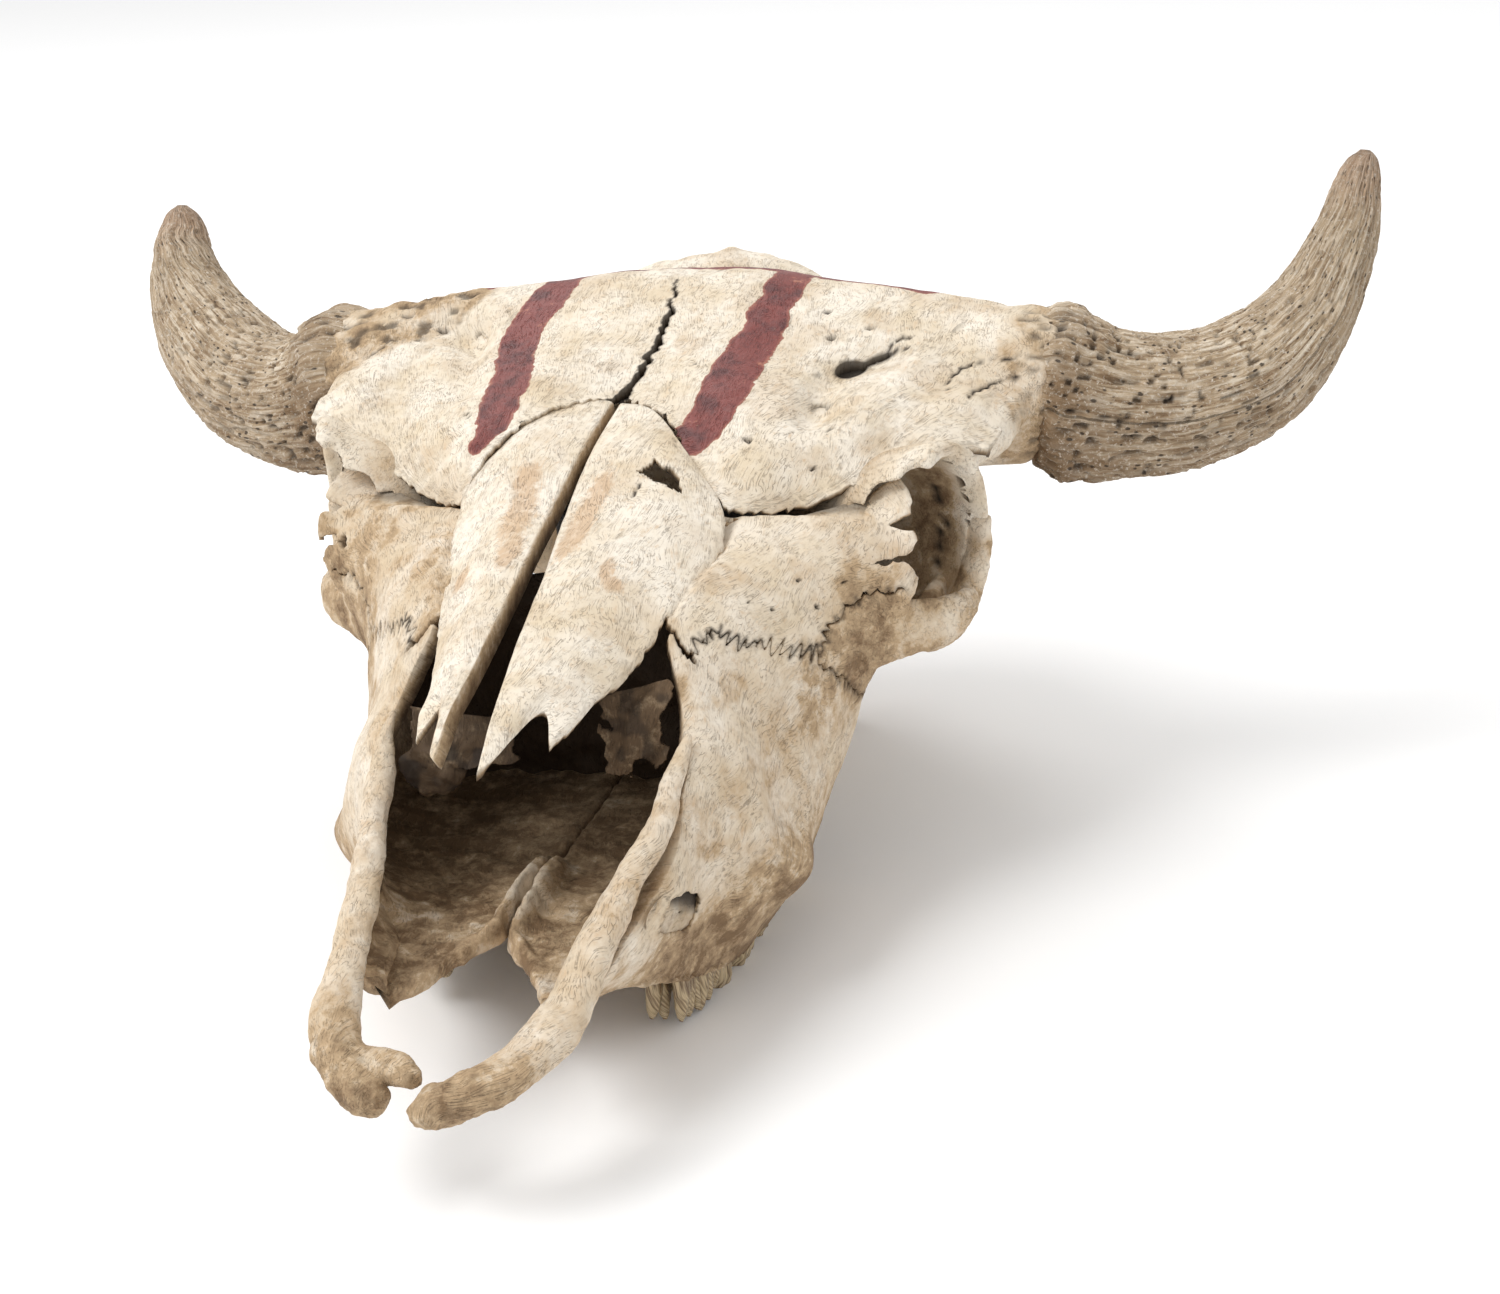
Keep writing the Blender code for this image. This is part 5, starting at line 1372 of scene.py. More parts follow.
def facePlate(outline, rowSpan, columnSpan, wall, gap, side, cutAway=None, swell=None):
    coarse, fine = ((faceSettings["cell"], faceSettings["fineCell"]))
    perRow, perColumn = faceSettings["perRow"], faceSettings["perColumn"]
    rows = unevenPlaces(*rowSpan, coarse / perRow, fine / perRow, faceSettings["fineRows"])
    columns = unevenPlaces(*columnSpan, coarse / perColumn, fine / perColumn, faceSettings["fineColumns"])
    r, c = np.meshgrid(rows, columns, indexing="ij")
    spots = np.stack([r * perRow, c * perColumn], -1).reshape(-1, 2)
    level = insideDistance(outline, spots).reshape(r.shape) - gap
    apart, _ = nearestOnLine(spots, flatMap(faceSettings["crack"]), 5.0)
    level = level - faceSettings["crackHalf"] * fallOff(apart.reshape(r.shape), 1.2, 3.5)
    if cutAway is not None:
        level = np.minimum(level, cutAway(sided(surfaceAt(faceSettings["grid"], r, c), side)))
    flatPlace = np.stack([r * perRow, c * perColumn, 0 * r], -1)
    level = level + 0.9 * noiseAt(flatPlace, 3.4, 88) * smoothStep(r, 7.5, 7.9) * fallOff(c, 3, 3.3)
    keep = ofFour(level) / 4 > 0
    # corners of the last kept cells slide onto the outline
    border = cellBorder(keep)
    slopeRow, slopeColumn = np.gradient(level, rows * perRow, columns * perColumn)
    steep = np.maximum(slopeRow**2 + slopeColumn**2, 0.15)
    reach = 0.9 * np.minimum(np.gradient(rows * perRow)[:, None], np.gradient(columns * perColumn)[None, :])
    slide = np.clip(level / steep, -reach, reach) * border
    r = r - slide * slopeRow / perRow
    c = c - slide * slopeColumn / perColumn
    outer = surfaceAt(faceSettings["grid"], r, c)
    normals = evened(latticeNormals(outer), 4)
    normals /= np.linalg.norm(normals, axis=-1, keepdims=True)
    edge = np.exp(-np.maximum(level, 0) / 0.8) * 0.35
    lift = 1 * noiseAt(outer, 22, 81) + 0.4 * noiseAt(outer, 8, 82) + 0.18 * noiseAt(outer, 2.8, 83) - edge
    lift = lift - 2.4 * fallOff(c, -0.06, 0.1) * smoothStep(r, 5.1, 5.5)
    if swell is not None:
        lift = lift + swell(outer)
    thick = wall(r, c) - 0.3 * noiseAt(outer, 9, 84)
    if swell is not None:  # the bone thins towards the foramen, so that one looks straight into the canal
        thick = thick * (0.2 + 0.8 * smoothStep(foramenLevel(outer, leftSide), 0.5, 8))
    inner = outer - normals * thick[..., None]
    outer = outer + normals * lift[..., None]
    shape = plateShape(outer, inner, keep, latticeGrain(outer))
    shape["points"] = sided(shape["points"], side)
    return shape


def nearSuture(shape, lines, reach, side):
    # darkens the bone beside the joint lines, where dirt has settled
    dirty = 0.35 + 0.65 * smoothStep(noiseAt(shape["points"], 6.0, 85), -0.4, 0.4)
    for line in lines:
        r, c = line[:, 0] / faceSettings["perRow"], line[:, 1] / faceSettings["perColumn"]
        spots = surfaceAt(faceSettings["grid"], r, c)
        distance, _ = nearestOnLine(shape["points"], sided(spots, side), 6)
        darken(shape, 0.85 * dirty * bell(distance / reach))


lacrimalPits = [  # x, y, z, size: only on the left side
    (78, -46, 137, 0.9), (84, -30, 143, 0.8), (92, -33, 134, 1), (100, -22, 140, 0.8), (70, -50, 141, 0.6),
]
lacrimalFingers = {
    # free ends of the plate in front of the eye, broken differently on the two sides
    leftSide: [(7.92, 3.2), (8, 2.98), (8.08, 2.88), (8, 2.52), (7.72, 2.4), (7.62, 2.24), (7.78, 2.32),
               (8.02, 2.46), (8.34, 2.62), (8.6, 2.7), (8.7, 2.6), (8.64, 2.36), (8.68, 2.18), (8.96, 2.4),
               (9.12, 2.6), (9.4, 2.72), (9.68, 2.7), (9.8, 2.6), (9.95, 2.4)],
    rightSide: [(7.95, 3.2), (8.1, 2.94), (8.04, 2.62), (7.9, 2.42), (8.12, 2.36), (8.3, 2.66), (8.5, 2.98),
                (8.7, 3), (8.8, 2.7), (8.72, 2.4), (8.86, 2.3), (9.05, 2.62), (9.3, 2.86), (9.6, 2.8),
                (9.8, 2.6), (9.95, 2.4)],
}


def lacrimalOutline(side):
    back = [(9.95, 1.6), (9.95, -0.24), (8, -0.24), (6.5, -0.24), (5.6, -0.2), (5.2, -0.08)]
    return np.concatenate([upperSuture, sideSuture[1:], flatMap(lacrimalFingers[side]), flatMap(back)])


def lacrimalShape(side):
    wall = lambda r, c: faceSettings["wall"] - 2.6 * smoothStep(r, 6.8, 8.2)
    shape = facePlate(lacrimalOutline(side), (4.65, 10), (-0.3, 3.3), wall, 0.18, side)
    nearSuture(shape, [upperSuture, sideSuture], 0.75, side)
    normals = vertexNormals(shape)
    front = (1.0 - shape["inside"])[:, None]
    if side == leftSide:
        for x, y, z, size in lacrimalPits:
            cutHole(shape, normals * front, np.array([x, y, z]), (0.3, -0.8, 0.5), size, size, 1.6)
    else:
        cutHole(shape, normals * front, np.array([-114, -9, 146]), (-0.5, -0.8, 0.2), 2.2, 2.6, 5.0)
    far = 0.15 if side == rightSide else 0
    shape["stain"] = np.clip(0.06 + stainAt(shape["points"]) + 0.7 * shape["inside"] + far, 0, 1)
    # painted shade under the forehead's overhanging edge
    roofed = smoothStep(shape["points"][:, 1], -4.0, 6.0) * (np.abs(shape["points"][:, 0]) < 104)
    darken(shape, 0.6 * roofed)
    return shape


def lacrimalBlock(side, grow):
    # plain version of the same plate, used to make room for it
    r, c = np.meshgrid(np.linspace(5.0, 9.75, 20), np.linspace(0.0, 3.0, 12), indexing="ij")
    c = np.minimum(c, np.interp(r, [5, 5.6, 6.4, 7, 9.75], [0.3, 1.2, 2.75, 2.6, 3]) * (c / 3))
    outer = surfaceAt(faceSettings["grid"], r, c)
    normals = evened(latticeNormals(outer), 3)
    normals /= np.linalg.norm(normals, axis=-1, keepdims=True)
    wall = (faceSettings["wall"] - 2.8 * smoothStep(r, 6.8, 8.2))[..., None]
    inner = outer - normals * (wall + grow)
    shape = plateShape(outer + normals * grow, inner, np.ones((19, 11), bool), latticeGrain(outer))
    shape["points"] = sided(shape["points"], side)
    return shape


palateSettings = {
    "y": [-200.0, -195.0, -160.0, -147.0, -120.0, -100.0, -88.0, -60.0, 0.0, 30.0],
    "valley": [40.0, 40.0, 43.0, 43.0, 44.0, 45.0, 46.0, 48.0, 50.0, 50.0],
    "ridge": [0.4, 0.4, 1.2, 8.0, 13.0, 11.0, 4.0, 2.0, 2.0, 2.0],
    "front": {leftSide: ([146.0, 149.0, 164.0, 186.0, 196.0], [0.0, 1.2, 15.0, 30.0, 34.0]),
              rightSide: ([148, 151, 157, 176, 191, 200], [0, 1.2, 7.5, 17.5, 29, 34])},
    "sections": 150, "around": 92,
}


def palateShape(side):
    sections = palateSettings["sections"]
    rows = np.linspace(0, 8.68, sections)
    wallColumns = np.linspace(0, 6, 40)
    rings = []
    for row in rows:
        outer = surfaceAt(faceSettings["grid"], np.full(40, row), wallColumns)
        edge = outer[-1]
        y = edge[1]
        valley = np.interp(y, palateSettings["y"], palateSettings["valley"])
        high = np.interp(y, palateSettings["y"], palateSettings["ridge"])
        middle = -1.2 + np.interp(-y, *palateSettings["front"][side])
        middle += 1.4 * smoothStep(-y, 148.0, 156.0) * noiseAt(np.array([[y, 0.0, 5.0 * side]]), 4.0, 89)[0]
        width = edge[0] - middle
        ledge = min(14 + 10 * smoothStep(y, -150, -110), 0.4 * width)
        wallPoint = outer[np.argmin(np.abs(outer[:, 2] - (valley + 12)))]
        sideX = max(wallPoint[0] - 5, middle + 1)
        bulge = min(1, width / 30)
        corners = [
            (wallPoint[0] - 2.4, y, valley + 12), (sideX - 0.5, y, valley + 8),
            (middle + 0.80 * (sideX - middle), y, valley + 2.5), (middle + 0.5 * (sideX - middle), y, valley),
            (middle + 9 * bulge, y, valley + 0.15 * high), (middle + 6.6 * bulge, y, valley + 0.72 * high),
            (middle + 4 * bulge, y, valley + high), (middle + 2 * bulge, y, valley + 0.9 * high),
            (middle + 0.9, y, valley + 0.3 * high - 1), (middle, y, valley - 3), (middle + 1.5, y, valley - 5),
            (edge[0] - min(ledge + 4, 0.55 * width), y, valley - 5), (edge[0] - ledge, y, edge[2] + 2),
            (edge[0] - ledge + 2, y, edge[2] - 1), (edge[0] - 1.6, y, edge[2] - 0.6),
            (edge[0] - 1.8, y, edge[2] + 8),
        ]
        closed = np.array([*corners, corners[0]], float)
        steps = np.maximum(np.linalg.norm(np.diff(closed, axis=0), axis=1), 0.3)
        lengths = np.concatenate([[0], np.cumsum(steps)])
        walked = np.linspace(0, lengths[-1], palateSettings["around"] + 1)[:-1]
        places = np.interp(walked, lengths, np.arange(len(closed)))
        flat = np.stack([np.interp(places, np.arange(len(closed)), closed[:, k]) for k in range(3)], -1)
        rings.append(0.5 * flat + 0.25 * np.roll(flat, 1, axis=0) + 0.25 * np.roll(flat, -1, axis=0))
    shape = tubeShape(sided(rings, side))
    return addRelief(shape, [(18, 0.9), (6, 0.7), (2.5, 0.3)], 90)


foramenSettings = {
    "centre": (64.5, -141, 57), "axis": (0.3, -0.87, 0.35), "long": (0.93, 0.3, 0.3),
    "halfLong": 9.3, "halfShort": 7.6, "start": 3.0, "depth": 6.0,  # start: under the wall's face, along the axis
}


def foramenLevel(points, side):
    # the wide foramen through which the cheek's nerve came out
    drawn = points * [side, 1, 1]
    centre = sided(np.array([foramenSettings["centre"]], float), side)[0] * [side, 1.0, 1.0]
    return ovalLevel(drawn, centre, *(foramenSettings[key] for key in ("axis", "long", "halfLong", "halfShort")))


def foramenPocket(side, wall):
    # the canal behind the foramen: it starts under the wall's own face, and its floor slopes back into the dark
    axis, longWay = unit(foramenSettings["axis"]), unit(foramenSettings["long"])
    longWay = longWay - np.dot(longWay, axis) * axis
    shortWay = np.cross(axis, longWay)
    share, angle = np.meshgrid(np.linspace(0, 1, 24), np.linspace(0, 2 * math.pi, 65), indexing="ij")
    radius = 1.3 * np.sqrt(np.maximum(1 - share**2.6, 0.001))
    centre = np.array([foramenSettings["centre"]], float)
    near = wall * [side, 1, 1] - sided(centre, side) * [side, 1, 1]
    terms = lambda u, v: np.stack([np.ones_like(u), u, v, u * u, u * v, v * v], -1)
    face = np.linalg.lstsq(terms(near @ longWay, near @ shortWay), near @ axis, rcond=None)[0]
    u = radius * np.cos(angle) * foramenSettings["halfLong"]
    v = radius * np.sin(angle) * foramenSettings["halfShort"]
    lean = 0.8 * radius * np.cos(angle) + 0.6 * radius * np.sin(angle)
    inward = 1.5 + foramenSettings["depth"] * smoothStep(lean, -0.1, 1.0)
    inward = foramenSettings["start"] + inward * smoothStep(share, 0.0, 0.4)
    spots = centre + longWay * u[..., None] + shortWay * v[..., None]
    spots = spots + axis * (terms(u, v) @ face - inward)[..., None]
    spots = spots + 0.4 * noiseAt(spots, 5, 87)[..., None] * axis
    shape = plateShape(spots, spots - axis * 1.2, np.ones((23, 64), bool), latticeGrain(spots))
    shape["points"] = sided(shape["points"], side)
    # painted shade on the canal's deeper side, where it turns away into shadow
    deep = np.concatenate([smoothStep(lean, -0.15, 0.55).ravel()] * 2)
    shape["dark"] = 0.12 + 0.8 * deep
    shape["stain"] = np.full(len(deep), 0.25)
    return shape


def maxillaShape(side):
    # ragged edges: the rim of the nose opening, and the broken sockets of the teeth
    random = np.random.default_rng(91)
    rim = [(row, 0.02 + 0.03 * random.random()) for row in np.arange(0.05, 5.06, 0.06)]
    front = [(0.02 + 0.04 * random.random(), column) for column in np.arange(5.9, 0.1, -0.25)]
    sockets = [(row, 5.86 + 0.13 * random.uniform(-1, 1)) for row in np.arange(8.6, 0.1, -0.045)]
    outline = [flatMap(rim), upperSuture, lowerSuture[1:], flatMap([(8.7, 4.6), *sockets, *front])]
    thicker = lambda c: np.maximum(fallOff(c, 0, 0.4), smoothStep(c, 4.9, 5.4))
    wall = lambda r, c: faceSettings["wall"] + 2.0 * thicker(c)
    line = curveAt(premaxillaStations[side], np.linspace(0, len(premaxillaStations[side]) - 1, 60))

    def cutAway(points):
        distance, along = nearestOnLine(points.reshape(-1, 3), line[:, :3], 20)
        size = np.interp(along, np.linspace(0, along.max() + 1e-6, 60), line[:, 3:].mean(1))
        beside = (distance - size - 0.5).reshape(points.shape[:-1]) + 0.3 * noiseAt(points, 5, 95)
        return np.minimum(beside, foramenLevel(points, side))

    def swell(points):
        total = 0
        for *centre, radius, high in ((92, -80, 50, 14, 4.5), (78, -104, 36, 9, 2), (70, -120, 64, 9, 1.2)):
            total = total + high * bell(np.linalg.norm(points - centre, axis=-1) / radius)
        return total

    shape = facePlate(np.concatenate(outline), (0, 8.75), (-0.1, 6.1), wall, 0.18, side, cutAway, swell)
    nearSuture(shape, [upperSuture, lowerSuture], 0.75, side)
    bend = vertexNormals(shape) * (1.0 - shape["inside"])[:, None]
    distance, _ = nearestOnLine(shape["points"], line[:, :3], 20)
    lip = smoothStep(foramenLevel(shape["points"], side), 4.0, 0.5)
    shape["points"] = shape["points"] + bend * (0.8 * lip)[:, None]
    for k, crack in enumerate((
        [(70, -86, 98), (74, -84, 88), (77, -86, 78), (78, -90, 70)],
        [(62, -112, 96), (68, -108, 84), (71, -110, 74)],
        [(60, -126, 42), (66, -112, 36), (74, -98, 30)],
    )):
        cutCrack(shape, bend, sided(np.array(crack, float), side), 0.9, 1.0, 96 + k)
    floor = palateShape(side)
    floor["inside"][:] = 1.0
    whole = joined([shape, floor])
    points = whole["points"]
    cavity = whole["inside"] * smoothStep(points[:, 2], 34.0, 41.0)
    pale = 0.4 * smoothStep(noiseAt(points, 14, 93), 0, 0.7) * smoothStep(-points[:, 1], 100, 140)
    ridge = smoothStep(np.abs(points[:, 0] - 1), 10, 6) * smoothStep(-points[:, 1], 88, 98) * cavity
    whole["stain"] = np.clip(0.12 + stainAt(points) + cavity * (0.52 - pale) - 0.25 * ridge, 0, 1)
    # painted shade: darker further back in the nose
    deep = smoothStep(points[:, 1], -135, -70) * cavity
    whole["dark"] = np.maximum(whole["dark"], 0.16 * deep)
    level = foramenLevel(shape["points"], side)
    pocket = foramenPocket(side, shape["points"][(level > 0.5) & (level < 7.0) & (shape["inside"] < 0.5)])
    return joined([whole, pocket])


premaxillaStations = {
    leftSide: [
        (60.5, -104, 109, 1.4, 1.4), (59.5, -113, 103, 3.2, 3.2), (58.5, -124, 96, 4.4, 4.4),
        (59.5, -137, 90, 4.4, 4.4), (55.7, -155, 82, 5, 4.6), (52, -173, 73, 6.4, 5.2),
        (48, -190, 63, 7.6, 5.8), (46, -204, 55, 8.6, 6.2), (42.2, -221, 49, 9.6, 6.8),
        (34.8, -237, 45, 9.4, 7), (25, -247, 42, 9, 7.5), (14, -252, 39, 8, 7), (8, -254, 37, 3, 3),
    ],
    rightSide: [
        (-52.5, -108, 114, 1.4, 1.4), (-52, -118, 108, 3.4, 3.2), (-50, -127, 101, 4.8, 4.4),
        (-47, -141, 93, 5.2, 4.5), (-41, -164, 83, 5.8, 4.8), (-37, -184, 74, 6.2, 5),
        (-34, -204, 64, 6.8, 5.6), (-30.5, -222, 57, 7.8, 6.4), (-25.5, -236, 50, 8.6, 7.2),
        (-17, -246, 44, 8.3, 7.4), (-8, -250, 40, 7.5, 6.5), (-3, -250, 39, 3, 3),
    ],
}
hookStations = [(-16, -240, 46, 7, 6), (-8, -240, 46, 6.5, 5), (0, -242, 46, 5.5, 4.5), (6, -246, 45, 3.5, 3)]


def premaxillaShape(side):
    around, steps = ((56, 190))
    shape = tubeShape(barRings(premaxillaStations[side], around, steps))
    if side == rightSide:
        hook = tubeShape(barRings(hookStations, 40, 40))
        shape = fused("premaxilla", [shape, hook], 1.0, 3)
    shape = addRelief(shape, [(16, 0.8), (6, 0.35), (2.6, 0.16)], 100 + side)
    tip = smoothStep(-shape["points"][:, 1], 226.0, 246.0)
    knobby = tip * (0.55 * noiseAt(shape["points"], 4.0, 103) + 0.3 * noiseAt(shape["points"], 1.8, 104))
    shape["points"] = shape["points"] + vertexNormals(shape) * knobby[:, None]
    shape["stain"] = np.clip(0.2 + 0.2 * tip + 0.5 * stainAt(shape["points"]), 0, 1)
    shape["dark"] = 0.18 * tip * smoothStep(noiseAt(shape["points"], 3.0, 105), 0.1, 0.6)
    return shape


cheekSettings = {
    "body": [(104, -14, 115, 3, 15), (112, -5, 113.5, 4.5, 13), (120, 2, 113.5, 6, 11.5), (128, 9, 113, 6.2, 10.5),
             (134, 18, 113.5, 6, 9), (137.5, 27, 115, 5, 6.5), (138, 34, 117, 4, 4)],
    "process": [(120, 14, 113, 4, 4), (123, 34, 116, 4, 5), (124, 56, 113, 4.5, 6), (124, 76, 101, 4, 6),
                (124, 94, 92, 3, 4), (123, 98, 90, 1.5, 2)],
    "voxel": 0.95,
}


def jugalShape(side):
    rim = barRings(rimStations(-118, rimSettings["suture"] + 1.5, 9), 40, 80, wideAxis=socketOut)
    body = barRings(cheekSettings["body"], 44, 80, wideAxis=socketOut)
    process = barRings(cheekSettings["process"], 30, 50)
    outline = np.concatenate([sideSuture, flatMap([(8.3, 3), (8.6, 3.2), (8.7, 4.4)]), lowerSuture[::-1][:-1]])
    plate = facePlate(outline, (6.2, 8.8), (2.4, 4.7), lambda r, c: 4.6 + 0 * r, 0.18, leftSide)
    shapes = [plate, tubeShape(rim), tubeShape(body), tubeShape(process)]
    shape = fused("cheekbone", shapes, cheekSettings["voxel"], 1)
    shape["points"] = sided(shape["points"], side)
    shape = addRelief(shape, [(14, 0.5), (5, 0.35), (2.4, 0.2)], 110)
    nearSuture(shape, [sideSuture, lowerSuture], 0.7, side)
    points = shape["points"]
    mottle = 0.25 * smoothStep(noiseAt(points, 9, 112), -0.2, 0.6)
    shape["stain"] = np.clip(0.8 * stainAt(points) + 0.12 + mottle, 0, 1)
    return shape


conchaSettings = {
    # rows of points from the torn lower edge upwards
    leftSide: [
        [(26, -104, 91), (33, -105, 88), (40, -105, 87), (49, -104, 91)],
        [(24, -101, 101), (33, -102, 100), (41, -101, 101), (51, -100, 105)],
        [(24, -97, 110), (34, -98, 112), (43, -97, 114), (53, -95, 117)],
        [(24, -92, 117), (34, -92, 121), (44, -91, 124), (53, -91, 126)],
    ],
    rightSide: [
        [(48, -107, 93), (32, -111, 92), (17, -111, 93), (3, -110, 96)],
        [(50, -106, 101), (32, -110, 99), (17, -110, 99), (2, -109, 101)],
        [(50, -105, 108), (32, -107, 106), (17, -107, 106), (2, -106, 107)],
        [(50, -103, 115), (32, -103, 113), (17, -103, 112), (2, -102, 112)],
    ],
}


def conchaShape(side):
    r, c = np.meshgrid(np.linspace(0, 3, 66), np.linspace(0, 3, 84), indexing="ij")
    outer = surfaceAt(conchaSettings[side], r, c)
    outer[..., 0] *= side
    size = np.linalg.norm(outer[0, -1] - outer[0, 0])
    edge = np.minimum(np.minimum(r, 3.6 - r) * 11, np.minimum(c, 3 - c) * size / 3)
    torn = edge + 3.2 * noiseAt(outer, 7, 120 + side) + 1.6 * noiseAt(outer, 2.8, 121) > 2.2
    if side == leftSide:
        torn &= np.hypot(outer[..., 0] - 41.5, outer[..., 2] - 94.5) + 1.5 * noiseAt(outer, 3, 122) > 4.2
    keep = torn[:-1, :-1] & torn[1:, 1:]
    normals = latticeNormals(outer)
    outer = outer + normals * (3 * noiseAt(outer, 10, 123) + 1.2 * noiseAt(outer, 3.5, 124))[..., None]
    shape = plateShape(outer, outer - normals * 1.3, keep, latticeGrain(outer))
    if side == rightSide:
        lump = [(-51, -104, 90, 2, 2), (-47, -104, 91, 8, 8), (-38, -104, 91, 10, 9.5), (-30, -104, 92, 7.5, 8),
                (-27, -104, 92, 2, 2)]
        lump = addRelief(tubeShape(barRings(lump, 60, 50, hint=(0, 1, 0))), [(8, 1.6), (3.5, 1.1)], 125)
        shape = joined([shape, lump])
    shape["stain"][:] = 0.6
    mottle = 0.3 * smoothStep(noiseAt(shape["points"], 5.0, 126), 0.0, 0.6)
    # darkened all over as painted shade inside the nose, more on the far side, with random mottling
    shape["dark"] = (0.45 if side == leftSide else 0.62) + mottle
    return shape


def cavityBackShape():
    # an uneven wall deep inside the nose, which closes it off: stained, and nearly black with painted shade
    r, c = np.meshgrid(np.linspace(0, 1, 50), np.linspace(0, 1, 70), indexing="ij")
    half = 78 - 26 * smoothStep(r, 0.5, 1)
    spots = np.stack([half * (2 * c - 1), -14 - 18 * (2 * c - 1) ** 4 - 10 * r, 46 + 94 * r], -1)
    normals = latticeNormals(spots)
    spots = spots + normals * (4 * layeredNoise(spots, 16, 3, 140))[..., None]
    shape = plateShape(spots, spots - normals * 2, np.ones((49, 69), bool), latticeGrain(spots))
    shape["stain"][:] = 0.8
    # nearly black: painted shade deep in the nose
    shape["dark"][:] = 0.85
    return shape


toothSettings = {
    "rows": [("premolar_2", -118.0, -104.0, 57.0), ("premolar_3", -103.0, -87.0, 61.0),
             ("premolar_4", -86.0, -70.0, 63.0), ("molar_1", -69.0, -46.0, 65.0),
             ("molar_2", -45.0, -18.0, 66.0), ("molar_3", -17.0, 12.0, 67.0)],
    "floor": -5.0, "around": 72,
}


def toothProngs(front, back, outside, seed):
    # the worn front teeth stand apart as tapered prongs
    random = np.random.default_rng(seed)
    shapes = []
    for place in (0.06, 0.36, 0.66, 0.94):
        for inner in (0, 1):
            x = outside - 3.0 - 9.5 * inner + random.uniform(-0.8, 0.8)
            y = front + place * (back - front)
            tip = toothSettings["floor"] + random.uniform(0.0, 4.5) + 2.0 * inner
            lean = random.uniform(-1.5, 1.5)
            stations = [(x, y, 32, 3.4, 3.6), (x, y, 14, 3.3, 3.4), (x + lean * 0.4, y, tip + 9, 2.9, 2.9),
                        (x + lean, y - 0.6, tip + 3, 2.1, 2), (x + 1.3 * lean, y - 1, tip, 0.9, 0.9)]
            shapes.append(tubeShape(barRings(stations, 28, 40, hint=(0, 1, 0))))
    return joined(shapes)


def toothShape(side, front, back, outside):
    if back < -80 and side == leftSide:
        shape = toothProngs(front, back, outside, int(-front))
        shape = addRelief(shape, [(5, 0.3), (2, 0.15)], 130)
        shape["stain"][:] = 0.4
        return shape
    wide = 10 if back - front > 20 else 8.5
    long, middle = (back - front) / 2 - 0.5, (front + back) / 2
    edge = np.array([row[-1] for row in faceSettings["grid"]], float)
    top = np.interp([front, middle, back], edge[:, 1], edge[:, 2]).min() + 10
    # on the far side the front crowns are broken off short
    bottom = toothSettings["floor"] + (12.0 if side == rightSide and back < -60.0 else 0.0)
    rings = []
    for level in np.linspace(bottom, top, 26):
        share = 0.9 + 0.1 * smoothStep(level, bottom, bottom + 4)
        centre, around = (outside - wide, middle, level), toothSettings["around"]
        ring = ringAt(centre, long * share, wide * share, (0, 1, 0), (1, 0, 0), around, 3.2)
        place = (ring[:, 1] - middle) / long
        waves = 3 if wide > 9 else 2
        flute = 0.9 * np.cos(place * math.pi * waves) - 0.9 - 0.8 * bell(place / 0.2)
        ring[:, 0] += flute * (ring[:, 0] > outside - wide)
        rings.append(ring)
    shape = tubeShape(sided(rings, side))
    return addRelief(shape, [(5, 0.4)], 130)


# Pieces

makePiece("cranium_rear", craniumShape(), paintedBone, "weathered_bone", "cranium")
makePiece("forehead", foreheadShape(), paintedBone, "weathered_bone", "cranium")
makePiece("nasal_cavity_back", cavityBackShape(), shadedCavityBone, "inner_bone")
print("cranium done")
for side, word in ((leftSide, "left"), (rightSide, "right")):
    makePiece("horn_core_" + word, hornShape(side), hornBone, "weathered_bone", "cranium")
    for bone, shape in (
        ("nasal", nasalShape(side)), ("lacrimal", lacrimalShape(side)), ("maxilla", maxillaShape(side)),
        ("premaxilla", premaxillaShape(side)), ("jugal", jugalShape(side)),
    ):
        makePiece(f"{bone}_bone_{word}", shape, bleachedBone, "weathered_bone", f"{bone}_{word}")
    makePiece("concha_scrap_" + word, conchaShape(side), shadedCavityBone, "inner_bone", "concha_" + word)
    for name, front, back, outside in toothSettings["rows"]:
        crown = toothShape(side, front, back, outside)
        makePiece(f"{name}_crown_{word}", crown, toothEnamel, "tooth_enamel", f"tooth_{name}_{word}")
    print(word, "side done")


# Floor, light and camera

studioSettings = {
    "floor": "#FFFFFF", "halfFloor": 6.0, "world": 0.77,
    "key": {"place": (-2.7, -2.2, 5.0), "aim": (0.0, 0.0, 0.1), "size": 3.3, "power": 178.0},
    "fill": {"place": (-1.2, 1.6, 2.6), "aim": (0.0, 0.0, 0.15), "size": 1.6, "power": 16.0},
}


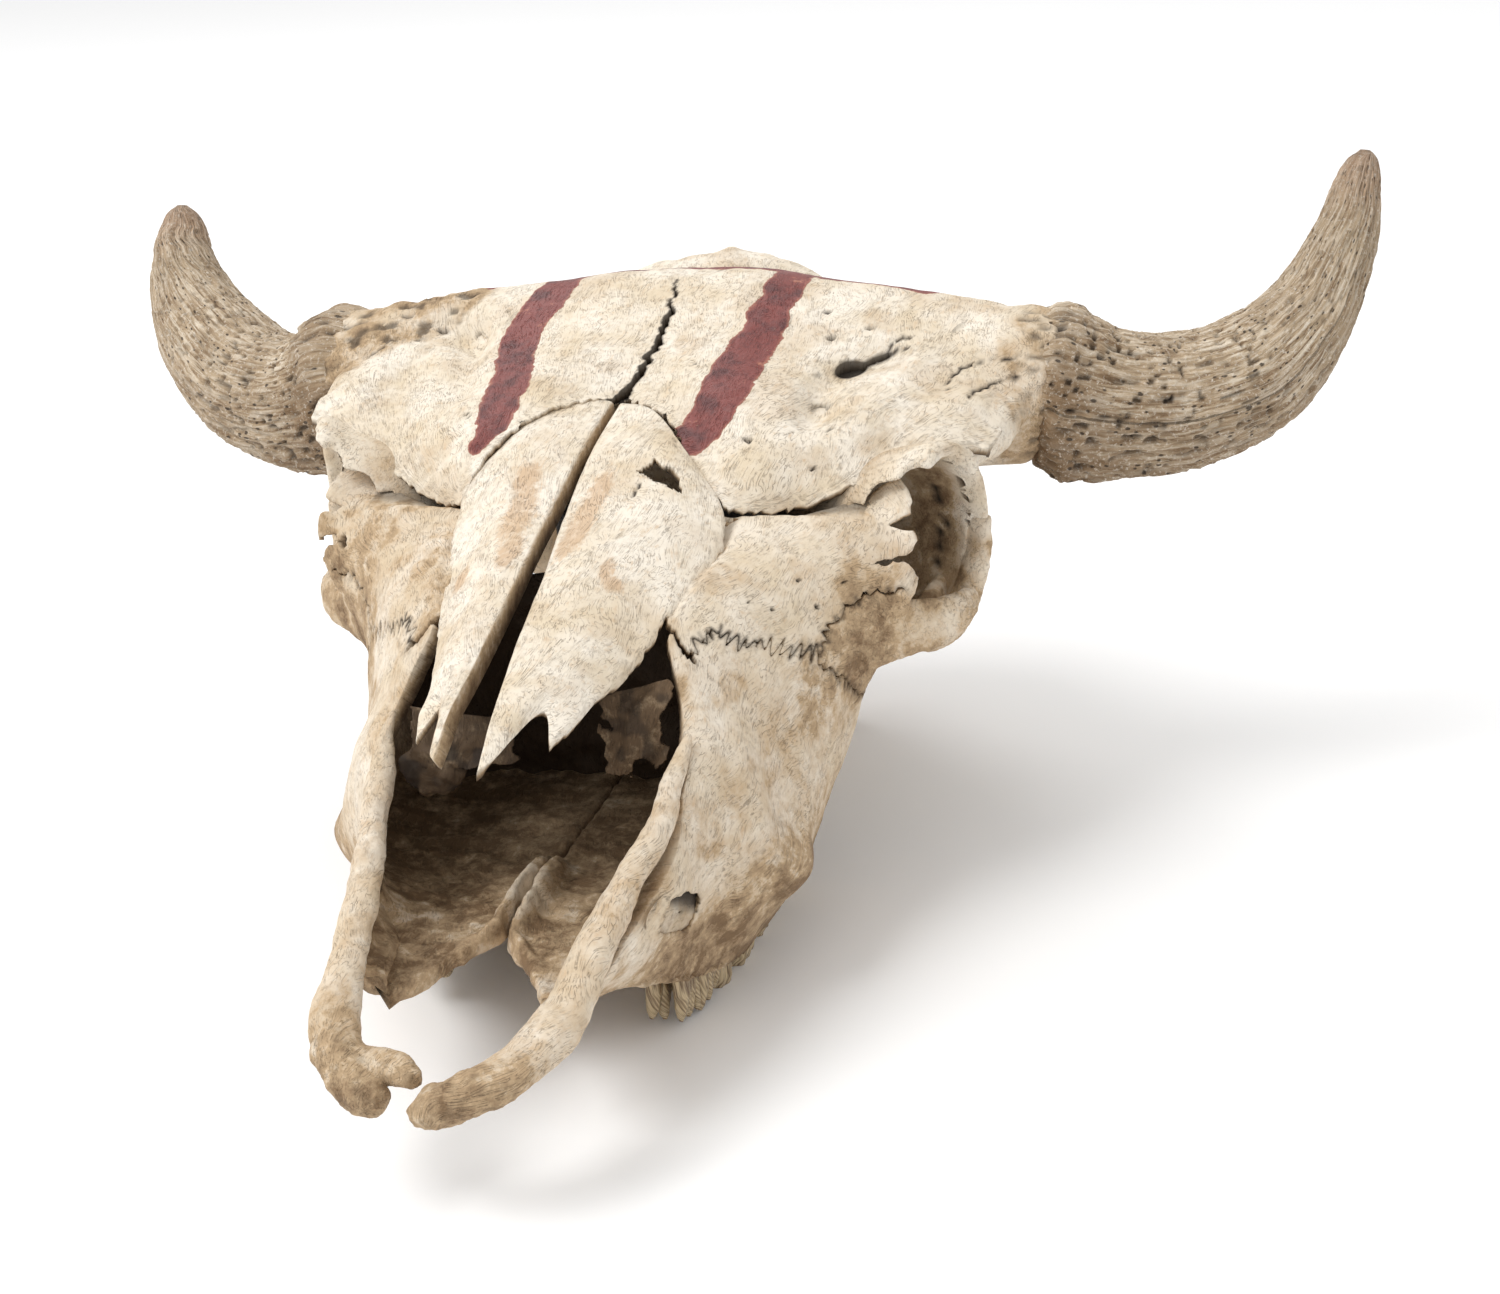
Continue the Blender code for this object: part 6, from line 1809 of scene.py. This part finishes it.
def makeFloor():
    mesh = bpy.data.meshes.new("studio_floor")
    half = studioSettings["halfFloor"]
    mesh.from_pydata([(-half, -half, 0), (half, -half, 0), (half, half, 0), (-half, half, 0)], [], [(0, 1, 2, 3)])
    look, add = newLook("white studio paper")
    shader = add("BsdfPrincipled", {"Base Color": studioSettings["floor"], "Roughness": 0.9})
    add("OutputMaterial", links={"Surface": shader})
    mesh.materials.append(look)
    floor = bpy.data.objects.new("studio_floor", mesh)
    bpy.context.scene.collection.objects.link(floor)


def makeLamp(name, settings):
    lamp = bpy.data.lights.new(name, "AREA")
    lamp.shape = "DISK"
    lamp.size = settings["size"]
    lamp.energy = settings["power"]
    holder = bpy.data.objects.new(name, lamp)
    place, aim = np.array(settings["place"]), np.array(settings["aim"])
    holder.location = place
    holder.rotation_euler = Vector(aim - place).to_track_quat("-Z", "Y").to_euler()
    bpy.context.scene.collection.objects.link(holder)


cameraSettings = {
    "place": (0.312877, -0.861339, 0.443526), "azimuth": 0.29136453, "elevation": 0.36173265, "roll": -0.06483593,
    "lens": 57.6,
}


def makeCamera():
    a, e, roll = (cameraSettings[key] for key in ("azimuth", "elevation", "roll"))
    back = Vector((math.sin(a) * math.cos(e), -math.cos(a) * math.cos(e), math.sin(e)))
    right = Vector((math.cos(a), math.sin(a), 0))
    up = back.cross(right)
    across = math.cos(roll) * right + math.sin(roll) * up
    upward = -math.sin(roll) * right + math.cos(roll) * up
    data = bpy.data.cameras.new("camera")
    data.lens = cameraSettings["lens"]
    data.sensor_width = 36
    data.sensor_fit = "HORIZONTAL"
    data.clip_start = 0.05
    holder = bpy.data.objects.new("camera", data)
    place = Vector(cameraSettings["place"]) + Vector(drawingToFloor * millimetre)
    holder.matrix_world = Matrix((
        (across.x, upward.x, back.x, place.x), (across.y, upward.y, back.y, place.y),
        (across.z, upward.z, back.z, place.z), (0, 0, 0, 1)))
    bpy.context.scene.collection.objects.link(holder)
    bpy.context.scene.camera = holder


makeFloor()
makeLamp("key_light", studioSettings["key"])
makeLamp("fill_light", studioSettings["fill"])
makeCamera()
world = bpy.data.worlds.new("studio")
world.use_nodes = True
world.node_tree.nodes["Background"].inputs["Color"].default_value = (1.0, 1.0, 1.0, 1.0)
world.node_tree.nodes["Background"].inputs["Strength"].default_value = studioSettings["world"]
bpy.context.scene.world = world
bpy.context.scene.view_settings.view_transform = "Standard"
